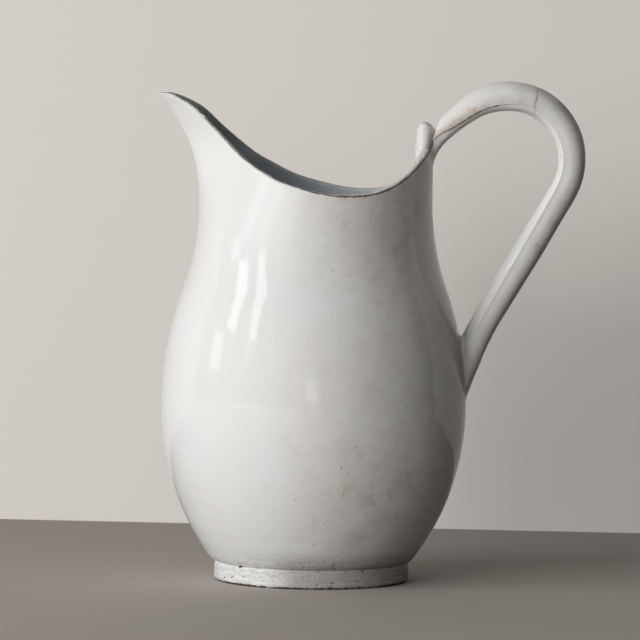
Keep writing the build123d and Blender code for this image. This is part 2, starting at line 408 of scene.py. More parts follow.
@dataclass(frozen=True)
class VesselForm:
    """Sizes of the thrown vessel, and its two skins as functions of an angle and a height."""

    foot_radius: float = HIGH["foot_ring"].x
    foot_height: float = HIGH["foot_ring"].z
    foot_wall: float = 10.5 * MM
    foot_edge_round: float = 2.2 * MM
    crease: float = 0.25 * MM
    base_step: float = 1.0 * MM
    belly_radius: float = HIGH["body_wall"].y
    belly_rise: float = 86.0 * MM
    waist_radius: float = 63.9 * MM
    waist_rise: float = 112.5 * MM
    shoulder_share: float = 0.58
    wall: float = 4.5 * MM
    bowl_joint: float = LOW["body_wall"].z
    bowl_joint_inside: float = HIGH["lower_bowl"].z
    neck_joint: float = HIGH["body_wall"].z
    floor_top: float = HIGH["floor_disc"].z
    rim_wall: float = 3.6 * MM
    rim_round: float = 1.7 * MM
    rim_low_rise: float = 5.3 * MM
    rim_low_offset: float = 18.0 * MM
    rim_back_rise: float = 28.2 * MM
    spout_height: float = HIGH["neck_collar"].z
    spout_throw: float = 27.0 * MM
    spout_flare: float = 3.2
    spout_lip: float = 6.5 * MM
    spout_pinch: float = 0.65
    pinch_rise: float = 60.0 * MM
    mouth_narrowing: float = 7.9 * MM
    mouth_offset: float = 8.0 * MM
    saddle_ways: Table = (-0.27, 0.0, 0.27, 0.51, 0.69, 0.86, 1.0, 1.2)
    saddle_rises: Table = (0.10, 0.0, 0.10, 0.33, 0.62, 0.90, 1.0, 1.0)
    wall_extra_low: float = 1.0 * MM
    rim_search: float = 6.0 * MM
    halvings: int = 40
    feel_step: float = 0.2 * MM
    dent: float = 0.30 * MM
    broad_dents: Hills = Hills(46.0 * MM, 3, squash=(1.0, 1.0, 0.7))
    fine_dents: Hills = Hills(18.4 * MM, 5, 0.35)
    throwing_ring: float = 0.006 * MM
    throwing_pitch: float = 9.0 * MM
    ring_drift: Hills = Hills(46.0 * MM, 7, 1.2)

    @property
    def belly_height(self) -> float:
        """Height of the widest point."""
        return self.foot_height + self.belly_rise

    @property
    def waist_height(self) -> float:
        """Height of the narrowest point, under the rim."""
        return self.belly_height + self.waist_rise

    @property
    def rim_low_height(self) -> float:
        """Height of the rim's lowest point."""
        return self.waist_height + self.rim_low_rise

    @property
    def rim_back_height(self) -> float:
        """Height of the rim behind the thumb rest."""
        return self.rim_low_height + self.rim_back_rise

    def outline(self, height: Array) -> Array:
        """Radius of the side at a height.

        Below the belly it is an arc that stands upright there. Above it, an arc upright at the
        belly meets an arc upright at the waist, and over the waist the side goes straight up.

        Args:
            height: heights over the table.

        Returns:
            Outside radii.
        """
        belly, waist = self.belly_radius, self.waist_radius
        base = self.foot_radius + self.base_step
        turn_in = (belly - waist) * self.shoulder_share
        turn_up = self.waist_rise * self.shoulder_share
        low = upright_arc_radius(belly - base, self.belly_rise)
        mid = upright_arc_radius(turn_in, turn_up)
        top = upright_arc_radius(belly - waist - turn_in, self.waist_rise - turn_up)
        over = np.abs(height - self.belly_height)
        under = np.abs(self.waist_height - height)
        bowl = belly - low + np.sqrt(np.maximum(low**2 - over**2, 0.0))
        shoulder = belly - mid + np.sqrt(np.maximum(mid**2 - over**2, 0.0))
        neck = waist + top - np.sqrt(np.maximum(top**2 - under**2, 0.0))
        where = [height <= self.belly_height, height <= self.belly_height + turn_up,
                 height <= self.waist_height]
        return np.select(where, [bowl, shoulder, neck], waist)

    def wall_at(self, height: Array) -> Array:
        """Thickness of the wall: smooth steps to a thicker bottom and to a thinner rim.

        Args:
            height: heights over the table.

        Returns:
            Thicknesses.
        """
        rise = smooth_step((height - self.neck_joint) / (self.rim_low_height - self.neck_joint))
        low = smooth_step(1.0 - (height - self.bowl_joint) / self.belly_rise)
        return self.wall + (self.rim_wall - self.wall) * rise + self.wall_extra_low * low

    def level_section(self, height: Array) -> tuple[Array, Array, Array, Array, Array]:
        """Sizes of one level section, each a smooth step or a power of the rise up the neck.

        Args:
            height: heights over the table.

        Returns:
            The place of the middle, the reach behind, the reach in front, half the width, and
            the share of it that is taken in at the spout.
        """
        over = np.maximum(height - self.neck_joint, 0.0)
        rise = over / (self.spout_height - self.neck_joint)
        back = self.outline(height)
        front = back + self.spout_throw * rise**self.spout_flare
        side = back - self.mouth_narrowing * smooth_step(rise)
        middle = self.mouth_offset * smooth_step(rise)
        pinch = self.spout_pinch * smooth_step(over / self.pinch_rise)
        return middle, back, front, side, pinch

    def plain_point(self, angle: Array, height: Array, inset: Array) -> Array:
        """A point of the side before the maker's hand shows.

        The level section is an ellipse behind. In front it is drawn out to the spout, and its
        half width is taken in by the square of the cosine of the angle.

        Args:
            angle: round the axis from the handle, anticlockwise from above.
            height: over the table.
            inset: how far inside the outer skin.

        Returns:
            Points, (..., 3).
        """
        middle, back, front, side, pinch = self.level_section(height)
        along, across = np.cos(angle), np.sin(angle)
        behind = middle + (back - inset - middle) * along
        ahead = middle + (front - inset + middle) * along
        drawn_in = np.where(along < 0.0, 1.0 - pinch * along**2, 1.0)
        x = np.where(along < 0.0, ahead, behind)
        y = (side - inset) * across * drawn_in
        return np.stack(np.broadcast_arrays(x, y, height), axis=-1)

    def hand(self, points: Array, ring_share: float = 1.0) -> Array:
        """How far the maker's hand pushed the skin out: broad dents and fine throwing rings.

        Args:
            points: places on the plain skin.
            ring_share: strength of the rings.

        Returns:
            Displacements along the normal.
        """
        dents = self.broad_dents.at(points) + self.fine_dents.at(points)
        turns = 2 * math.pi * points[..., 2] / self.throwing_pitch + self.ring_drift.at(points)
        rings = np.sin(turns) * ring_share * self.throwing_ring
        return self.dent * dents + rings

    def outside(self, angle: Array, height: Array) -> Array:
        """A point of the finished outer skin above the foot, as the hand left it.

        The normal is the cross product of two short steps on the plain skin.

        Args:
            angle: round the axis from the handle, anticlockwise from above.
            height: over the table.

        Returns:
            Points, (..., 3).
        """
        plain = self.plain_point(angle, height, 0.0)
        up = self.plain_point(angle, height + self.feel_step, 0.0) - plain
        turn = self.feel_step / self.waist_radius
        on = self.plain_point(angle + turn, height, 0.0) - plain
        return plain + unit(np.cross(on, up)) * self.hand(plain)[..., None]

    def locate(self, points: Array) -> tuple[Array, Array]:
        """The angle of the section through a point on the handle's side, and its reach.

        Args:
            points: places on the handle's side of the vessel, (..., 3).

        Returns:
            The angle that plain_point takes, and how far out the point lies, where 1 is the
            plain outer skin.
        """
        middle, back, _, side, _ = self.level_section(points[..., 2])
        x = (points[..., 0] - middle) / (back - middle)
        y = points[..., 1] / side
        return np.arctan2(y, x), np.hypot(x, y)

    def clearance(self, points: Array) -> Array:
        """How far points stand off the finished outer skin on the handle's side.

        Args:
            points: places on the handle's side of the vessel, (..., 3).

        Returns:
            Distances, below nothing inside the skin.
        """
        angle, reach = self.locate(points)
        skin = self.outside(angle, points[..., 2])
        away = np.hypot(skin[..., 0], skin[..., 1])
        return (reach - 1.0) * away - self.hand(self.plain_point(angle, points[..., 2], 0.0))

    def laid_on(self, points: Array, lift: Array) -> Array:
        """Move points level, straight in or out, until they stand off the skin by a lift.

        Args:
            points: places on the handle's side of the vessel, (..., 3).
            lift: how far out of the skin each point ends.

        Returns:
            The moved points.
        """
        angle, _ = self.locate(points)
        skin = self.outside(angle, points[..., 2])
        outward = unit(skin * (1.0, 1.0, 0.0))
        return skin + outward * np.asarray(lift)[..., None]

    def saddle(self, x: Array) -> Array:
        """Height of the rim, which depends on x alone.

        It climbs towards the spout by the saddle's shares of the run and of the rise, is level
        at the lip, and climbs towards the handle as a cube.

        Args:
            x: places from the axis towards the handle.

        Returns:
            Heights of the rim's middle line.
        """
        run_front = self.spout_lip - self.spout_throw - self.waist_radius - self.rim_low_offset
        way = (x - self.rim_low_offset) / run_front
        rise = self.spout_height - self.rim_low_height
        front = smooth_through(way, self.saddle_ways, self.saddle_rises) * rise
        way_back = (x - self.rim_low_offset) / (self.waist_radius - self.rim_low_offset)
        back = self.rim_back_rise * np.maximum(way_back, 0.0) ** 3
        return self.rim_low_height + np.where(way > 0.0, front, back)

    def rim_height(self, angle: Array) -> Array:
        """Height at which the wall's middle line meets the saddle, by halving its bracket.

        Args:
            angle: round the axis from the handle.

        Returns:
            Heights of the same shape.
        """
        low = np.full(angle.shape, self.neck_joint)
        high = np.full(angle.shape, self.spout_height + self.rim_search)
        for _ in range(self.halvings):
            middle = (low + high) / 2
            x = self.plain_point(angle, middle, self.wall_at(middle) / 2)[..., 0]
            over = middle > self.saddle(x)
            low, high = np.where(over, low, middle), np.where(over, middle, high)
        return (low + high) / 2


@dataclass
class GlazedVessel:
    """The vessel's whole skin as one grid, and the pieces that it is shared out among.

    Rows stand close where the profile bends and further apart where it runs on.
    """

    form: VesselForm
    columns: int = 640
    hollow_round: float = 1.5 * MM
    crease_reach: float = 0.7 * MM
    dive_reach: float = 1.1 * MM
    dive_rows: float = 3.0 * MM
    fillet_top: float = 27.0 * MM
    fillet_reach: float = 41.0 * MM
    floor_rows: int = 26
    neck_crowding: float = 1.15
    rim_power: float = 2.5
    rest_spread: float = 0.30
    rest_swell: float = 2.6 * MM
    rest_swell_fade: float = 11.0 * MM
    rest_raise: float = 1.2 * MM
    ring_share: float = 2.0
    hand_fade: Fade = Fade(0.0, 6.0 * MM)
    resting_height: float = 0.3 * MM
    crawl: Fade = Fade(24.0 * MM, -15.0 * MM)
    ridge: float = 0.16 * MM
    ridges: Hills = Hills(1.5 * MM, 11, squash=(0.10, 0.10, 1.0))
    lumps: Hills = Hills(3.0 * MM, 13, 0.8, squash=(0.5, 0.5, 1.0))
    pit: float = 0.42 * MM
    pits: Hills = Hills(1.9 * MM, 17, level=-0.28)
    dark_pit: Fade = Fade(0.0, -0.35 * MM)
    crumble: Band = Band(0.0, 2.4 * MM, 0.22 * MM)
    crumbs: Hills = Hills(1.3 * MM, 23)
    grains: Hills = Hills(0.7 * MM, 29, 0.5)
    chip: float = 1.2
    chips: Hills = Hills(2.6 * MM, 19, level=-0.25)
    worn: Band = Band(0.0, 1.9 * MM)
    # Unglazed clay along the foot's lower edge, which also stands for the contact shadow there
    hem_rise: Fade = Fade(1.5 * MM, -0.9 * MM)
    hem_width: float = 2.0 * MM
    hem_breaks: Hills = Hills(2.2 * MM, 67, 1.1, 0.9)
    line_middle: float = 1.1 * MM
    line_side: float = 2.1 * MM
    line_half: float = 1.5 * MM
    inner: Fade = Fade(1.0 * MM, 3.0 * MM)
    side_stain: Fade = Fade(-0.3, 1.0, 0.55)
    rim_cloud: Band = Band(0.0, 34.0 * MM, 0.75)
    rim_cloud_at: Triple = (0.55, -0.6, 1.0)
    low_cloud: Band = Band(0.0, 48.0 * MM, 0.4)
    low_cloud_at: Triple = (0.35, -0.9, 0.45)
    # Painted shade inside, darker towards the spout
    spout_shade_side: Fade = Fade(0.2, -1.0)
    marks: dict[str, int] = field(default_factory=dict)

    def revolved(self, radius: Array, height: Array) -> Array:
        """Rows of a turned surface: each pair of radius and height becomes a level circle.

        Args:
            radius: one for each row.
            height: one for each row.

        Returns:
            Points, (rows, columns, 3).
        """
        angle = self.angles()[None]
        x, y = radius[:, None] * np.cos(angle), radius[:, None] * np.sin(angle)
        return np.stack(np.broadcast_arrays(x, y, height[:, None]), axis=-1)

    def angles(self) -> Array:
        """The angles of the columns, from the handle round to the handle again."""
        return np.linspace(0.0, 2 * math.pi, self.columns, endpoint=False)

    def under_floor(self) -> Array:
        """Rows of the underside inside the foot, from the pole outwards: a level disc.

        Returns:
            Points, (rows, columns, 3).
        """
        form = self.form
        hollow = form.foot_radius - form.foot_wall - self.hollow_round
        radius = np.linspace(0.0, hollow, 16)
        return self.revolved(radius, np.full(16, form.foot_height))

    def foot(self) -> Array:
        """Rows of the foot: hollow wall, resting face and outer band, with rounded corners.

        Every corner is a quarter circle. The outer band runs up to the crease, where it falls
        back by an exponential.

        Returns:
            Points, (rows, columns, 3).
        """
        form = self.form
        hollow = form.foot_radius - form.foot_wall
        inner, outer = self.hollow_round, form.foot_edge_round
        quarter = np.linspace(0.0, math.pi / 2, 8)
        band = np.linspace(outer, form.foot_height, 42)
        dive = form.crease * np.exp(-(form.foot_height - band) / self.crease_reach)
        rest = np.linspace(hollow + inner, form.foot_radius - outer, 16)
        radius = np.concatenate([
            hollow - inner + inner * np.sin(quarter)[1:],
            np.full(6, hollow),
            hollow + inner - inner * np.cos(quarter),
            rest[1:-1],
            form.foot_radius - outer + outer * np.sin(quarter),
            (form.foot_radius - dive)[1:],
        ])
        height = np.concatenate([
            form.foot_height - inner + inner * np.cos(quarter)[1:],
            np.linspace(form.foot_height - inner, inner, 8)[1:-1],
            inner - inner * np.sin(quarter),
            np.zeros(len(rest) - 2),
            outer - outer * np.cos(quarter),
            band[1:],
        ])
        return self.revolved(radius, height)

    def side(self, heights: Array, inside: bool) -> Array:
        """Rows of the wall's plain skin.

        Args:
            heights: one for each row.
            inside: whether it is the inner skin.

        Returns:
            Points, (rows, columns, 3).
        """
        angle = self.angles()[None]
        level = heights[:, None] * np.ones_like(angle)
        inset = self.form.wall_at(level) if inside else np.zeros_like(level)
        return self.form.plain_point(angle, level, inset)

    def bowl_side(self) -> Array:
        """Rows of the bowl's outside, from the crease at the foot, where it dives in.

        The dive is an exponential of the height over the foot.

        Returns:
            Points, (rows, columns, 3).
        """
        form = self.form
        start = form.foot_height
        near = start + np.linspace(0.0, self.dive_rows, 13)[:-1]
        far = np.linspace(start + self.dive_rows, form.bowl_joint, 36)
        heights = np.concatenate([near, far])
        rows = self.side(heights, inside=False)
        dive = (form.base_step + form.crease) * np.exp(-(heights - start) / self.dive_reach)
        rows[..., :2] *= (1.0 - dive / form.outline(heights))[:, None, None]
        return rows

    def rim_and_neck(self) -> tuple[Array, int]:
        """Rows up the neck's outside, over the rim and down its inside.

        A column's rows stand at shares of its own height up to the rim, closer towards it. Over
        the rim the profile is a half oval, a super-ellipse of the wall's thickness and the rim's
        rounding.

        Returns:
            The rows, and the number of the row along the middle of the rim.
        """
        form = self.form
        angle = self.angles()[None]
        behind = bell(2 * np.sin(angle / 2), self.rest_spread)
        top = form.rim_height(angle) - form.rim_round + self.rest_raise * behind
        share = np.linspace(0.0, 1.0, 58)[:, None]
        rise = 1.0 - (1.0 - share) ** self.neck_crowding
        level = form.neck_joint + (top - form.neck_joint) * rise
        outer = form.plain_point(angle, level, np.zeros_like(level))
        swell = self.rest_swell * behind * smooth_step(1.0 - (top - level) / self.rest_swell_fade)
        inner = form.plain_point(angle, level, form.wall_at(level) + swell)
        up = unit(outer[-1] - outer[-2] + inner[-1] - inner[-2])
        middle, reach = (outer[-1] + inner[-1]) / 2, (outer[-1] - inner[-1]) / 2
        turn = np.linspace(0.0, math.pi, 25)[1:-1, None, None]
        power = 2.0 / self.rim_power
        across = np.sign(np.cos(turn)) * np.abs(np.cos(turn)) ** power
        over = middle + reach * across + up * form.rim_round * np.sin(turn) ** power
        rows = np.concatenate([outer, over, inner[::-1]])
        return rows, len(outer) + len(over) // 2

    def inner_floor(self) -> Array:
        """Rows from the inner wall over a wide fillet to the middle of the floor.

        The fillet is a parabola that leaves the wall along its slope and meets the floor level.

        Returns:
            Points, (rows, columns, 3).
        """
        form = self.form
        top, step = np.array([self.fillet_top]), 1.0 * MM
        radius = (form.outline(top) - form.wall_at(top))[0]
        lower = (form.outline(top - step) - form.wall_at(top - step))[0]
        drop = self.fillet_top - form.floor_top
        corner = radius - (radius - lower) / step * drop
        t = np.linspace(0.0, 1.0, 16)
        bend = radius * (1 - t) ** 2 + 2 * corner * t * (1 - t) + self.fillet_reach * t**2
        fall = self.fillet_top * (1 - t) ** 2 + form.floor_top * (1 - (1 - t) ** 2)
        flat = np.linspace(self.fillet_reach, 0.0, self.floor_rows)[1:]
        radii = np.concatenate([bend, flat])
        heights = np.concatenate([fall, np.full(len(flat), form.floor_top)])
        return self.revolved(radii, heights)

    def skin(self) -> Grid:
        """The whole skin from the pole under the floor to the pole on it, as the hand left it.

        Returns:
            The grid; marks holds the number of the row at each joint.
        """
        form = self.form
        up = np.linspace(form.bowl_joint, form.neck_joint, 92)
        down = np.linspace(form.neck_joint, form.bowl_joint_inside, 60)
        bowl = np.linspace(form.bowl_joint_inside, self.fillet_top, 8)
        neck, rim_row = self.rim_and_neck()
        parts = [
            ("under", self.under_floor()), ("foot", self.foot()), ("bowl", self.bowl_side()),
            ("body", self.side(up, inside=False)[1:]), ("neck", neck[1:]),
            ("body_inside", self.side(down, inside=True)[1:]),
            ("bowl_inside", self.side(bowl, inside=True)[1:]),
            ("floor", self.inner_floor()[1:]),
        ]
        row = -1
        for name, rows in parts:
            if name == "neck":
                self.marks["rim"] = row + rim_row
            row += len(rows)
            self.marks[name] = row
        plain = np.concatenate([rows for _, rows in parts])
        return self.finished(plain)

    def finished(self, plain: Array) -> Grid:
        """Push the plain skin out by the hand's marks, the foot's roughness and the rim's wear.

        Args:
            plain: the whole plain skin, (rows, columns, 3).

        Returns:
            The finished skin with its masks.
        """
        form, marks = self.form, self.marks
        row = np.arange(len(plain))[:, None]
        height = plain[..., 2]
        outside = row <= marks["rim"]
        path = np.cumsum(np.linalg.norm(np.diff(plain, axis=0, prepend=plain[:1]), axis=-1), axis=0)
        from_rim = path - path[marks["rim"]]
        past_under = row > marks["under"]
        on_foot = past_under & (row <= marks["bowl"])
        crawl = self.crawl.at(height) * on_foot
        resting = past_under & (row <= marks["foot"]) & (height < self.resting_height)

        wall = (row > marks["foot"]) * self.hand_fade.at(height - form.foot_height)
        wall = wall * (row < marks["floor"] - self.floor_rows)
        rough = self.foot_roughness(plain)
        push = form.hand(plain, self.ring_share) * wall * np.where(outside, 1.0, -1.0)
        push = push + np.where(resting, 0.0, rough * crawl)
        push = push + self.crumble.at(from_rim) * self.rim_wear(plain)
        points = plain + grid_normals(plain) * push[..., None]
        points[[0, -1]] = plain[[0, -1]]

        pits = self.dark_pit.at(rough) * crawl
        line_at = self.line_middle + self.line_side * np.cos(self.angles())
        line = 1.0 - np.abs(from_rim + line_at) / self.line_half
        grid = Grid.of(
            points, crawl=crawl, wear=self.worn.at(from_rim),
            # Pits go dark, and so does the foot's lower edge, which also stands for the contact
            # shadow
            cavity=np.clip(np.maximum(pits, self.hem_and_contact_shade(plain) * on_foot), 0.0, 1.0),
            # Inside: painted shade towards the spout
            # Outside: stains, which on the foot also darken the soiling towards the handle's side,
            # in part painted shade
            stain=np.where(outside, self.stain(plain), self.spout_shade(plain)),
            line=np.clip(line, 0.0, 1.0), inner=np.where(outside, 0.0, self.inner.at(from_rim)),
        )
        grid.normals[0], grid.normals[-1] = (0, 0, -1), (0, 0, 1)
        return grid

    def foot_roughness(self, plain: Array) -> Array:
        """Turned ridges, lumps and pits: noise drawn out round the axis, less the noise's peaks.

        Args:
            plain: places on the plain skin.

        Returns:
            Displacements along the normal.
        """
        raised = self.ridge * (self.ridges.at(plain) + self.lumps.at(plain))
        return raised - self.pit * np.maximum(self.pits.at(plain), 0.0)

    def rim_wear(self, plain: Array) -> Array:
        """Crumbs and chips of the worn rim: fine noise, less the peaks of a coarser one.

        Args:
            plain: places on the plain skin.

        Returns:
            Displacements in shares of the crumble's height.
        """
        crumbs = self.crumbs.at(plain) + self.grains.at(plain)
        return crumbs - self.chip * np.maximum(self.chips.at(plain), 0.0)

    def hem_and_contact_shade(self, plain: Array) -> Array:
        """Unglazed clay and painted contact shadow at the foot's lower edge: a step cut up by
        noise.

        Args:
            plain: places on the plain skin.

        Returns:
            Strengths, not yet held between 0 and 1.
        """
        outer = np.hypot(plain[..., 0], plain[..., 1]) > self.form.foot_radius - self.hem_width
        return self.hem_rise.at(plain[..., 2]) * self.hem_breaks.at(plain) * outer

    def stain(self, points: Array) -> Array:
        """Where tea and soot have tinted the glaze: the handle's side, and two clouds on it.

        The side comes in as a smooth step along x; each cloud is a bell round a place on the
        wall.

        Args:
            points: places on the skin.

        Returns:
            Shares from 0 to 1.
        """
        form = self.form
        waist = np.array([form.waist_radius, form.waist_radius, form.waist_height])
        belly = np.array([form.belly_radius, form.belly_radius, form.belly_height])
        tone = self.side_stain.at(points[..., 0] / form.belly_radius)
        for cloud, place in ((self.rim_cloud, self.rim_cloud_at * waist),
                             (self.low_cloud, self.low_cloud_at * belly)):
            tone = tone + cloud.at(np.linalg.norm(points - place, axis=-1))
        return np.clip(tone, 0.0, 1.0)

    def spout_shade(self, points: Array) -> Array:
        """Painted shade inside the pitcher: a smooth step along x towards the spout."""
        return self.spout_shade_side.at(points[..., 0] / self.form.waist_radius)

    def pieces(self) -> list[tuple[str, bpy.types.Object, tuple[str, ...]]]:
        """Share the skin out among closed pieces that meet in hidden joint faces.

        Returns:
            For each piece its name, its object and the CAD nodes that it stands for.
        """
        skin = self.skin()
        marks, last = self.marks, len(skin.points) - 1
        crease = Grid.hidden(skin.points[marks["foot"]][None])
        under = skin.rows(0, marks["under"])
        foot = skin.rows(marks["under"], marks["foot"])
        bowl = skin.rows(marks["foot"], marks["bowl"])
        bowl_inside = skin.rows(marks["body_inside"], marks["bowl_inside"])
        body = skin.rows(marks["bowl"], marks["body"])
        body_inside = skin.rows(marks["neck"], marks["body_inside"])
        neck = skin.rows(marks["body"], marks["neck"])
        floor = skin.rows(marks["bowl_inside"], last)
        plans = [
            ("foot_band", [foot], True, ("foot_ring",)),
            ("floor_inside_and_under", [under, crease, floor], False, ("floor_disc",)),
            ("bowl_wall", [bowl, bowl_inside], True, ("lower_bowl",)),
            ("belly_and_shoulder", [body, body_inside], True, ("body_wall",)),
            ("neck_spout_and_rim", [neck], True, ("neck_collar",)),
        ]
        return [(name, lay_mesh(name, runs, closes), nodes) for name, runs, closes, nodes in plans]


# ---------------------------------------------------------------------------------------------
# The handle


@dataclass(frozen=True)
class HandleLine:
    """The handle's middle line in the plane of symmetry, and frames along it."""

    form: VesselForm
    root_drop: float = 3.0 * MM
    loop_radius: float = 34.4 * MM
    loop_drop: float = 9.0 * MM
    loop_offset: float = 41.6 * MM
    limb_end_height: float = 150.0 * MM
    limb_end_offset: float = 20.4 * MM
    tail_height: float = 99.0 * MM
    tail_bury: float = 2.5 * MM
    joint_share: float = 0.42
    easing: float = 7.0 * MM
    bell_reach: int = 3
    samples: int = 1200

    def stretches(self) -> tuple[Array, Array, Array]:
        """Lengths and headings of the line's four stretches, and its start.

        A straight root touches the round of the loop, a straight limb leaves it, and an arc
        tangent to the limb ends at the tail. Headings are angles from +X towards +Z.

        Returns:
            The way along the line at the five ends, the heading there, and the first point.
        """
        form = self.form
        start = np.array([form.waist_radius - form.wall / 2, form.rim_back_height - self.root_drop])
        centre = np.array([form.waist_radius + self.loop_offset,
                           form.rim_back_height - self.loop_drop])
        turn_height, tail_height = np.array([self.limb_end_height]), np.array([self.tail_height])
        limb_end = np.array([form.outline(turn_height)[0] + self.limb_end_offset,
                             self.limb_end_height])
        tail_end = np.array([form.outline(tail_height)[0] - self.tail_bury, self.tail_height])

        def touch(point: Array, side: int) -> Span:
            """Where the line from a point touches the round.

            Args:
                point: where the line starts.
                side: 1 or -1, the side on which it touches.

            Returns:
                The angle at the centre, and the length of the line.
            """
            away = point - centre
            far = np.hypot(*away)
            angle = math.atan2(away[1], away[0]) + side * math.acos(self.loop_radius / far)
            return angle, math.sqrt(far**2 - self.loop_radius**2)

        enter, root_run = touch(start, -1)
        leave, limb_run = touch(limb_end, 1)
        quarter = math.pi / 2
        chord = tail_end - limb_end
        bend = (math.atan2(chord[1], chord[0]) - (leave - quarter)) % (2 * math.pi)
        tail_run = np.hypot(*chord) * bend / math.sin(bend)
        runs = np.array([0.0, root_run, self.loop_radius * (enter - leave), limb_run, tail_run])
        headings = np.array([enter, enter, leave, leave, leave + 2 * bend]) - quarter
        return np.cumsum(runs), headings, start

    def length(self) -> float:
        """Length of the whole line."""
        return float(self.stretches()[0][-1])

    def joint(self) -> float:
        """Way along the line to the joint between the handle's two lengths."""
        ways = self.stretches()[0]
        return float(ways[1] + self.joint_share * (ways[2] - ways[1]))

    def frames(self, way: Array) -> tuple[Array, Array, Array]:
        """Points, directions and outward normals of the line, which runs straight on before 0.

        The heading is the stretches' heading, smoothed by a bell so that the curvature eases
        in and out, and the points are its running sum.

        Args:
            way: distances along the line.

        Returns:
            Points, unit directions and unit normals out of the loop, each (..., 3).
        """
        ways, headings, start = self.stretches()
        at = np.linspace(0.0, ways[-1], self.samples)
        step = at[1]
        reach = int(self.bell_reach * self.easing / step)
        kernel = bell(np.arange(-reach, reach + 1) * step, self.easing)
        padded = np.pad(np.interp(at, ways, headings), reach, mode="edge")
        heading = np.convolve(padded, kernel / kernel.sum(), mode="valid")
        x = start[0] + np.concatenate([[0.0], np.cumsum(np.cos(heading)[:-1] * step)])
        z = start[1] + np.concatenate([[0.0], np.cumsum(np.sin(heading)[:-1] * step)])
        miss = self.form.outline(np.array([self.tail_height]))[0] - self.tail_bury - x[-1]
        x = x + miss * (at / at[-1]) ** 2
        z = z + (self.tail_height - z[-1]) * (at / at[-1]) ** 2
        px, pz, turn = (np.interp(way, at, values) for values in (x, z, heading))
        before = np.minimum(way, 0.0)
        px, pz = px + before * np.cos(turn), pz + before * np.sin(turn)
        flat = np.zeros_like(px)
        points = np.stack([px, flat, pz], axis=-1)
        direction = np.stack([np.cos(turn), flat, np.sin(turn)], axis=-1)
        normal = np.stack([-np.sin(turn), flat, np.cos(turn)], axis=-1)
        return points, direction, normal


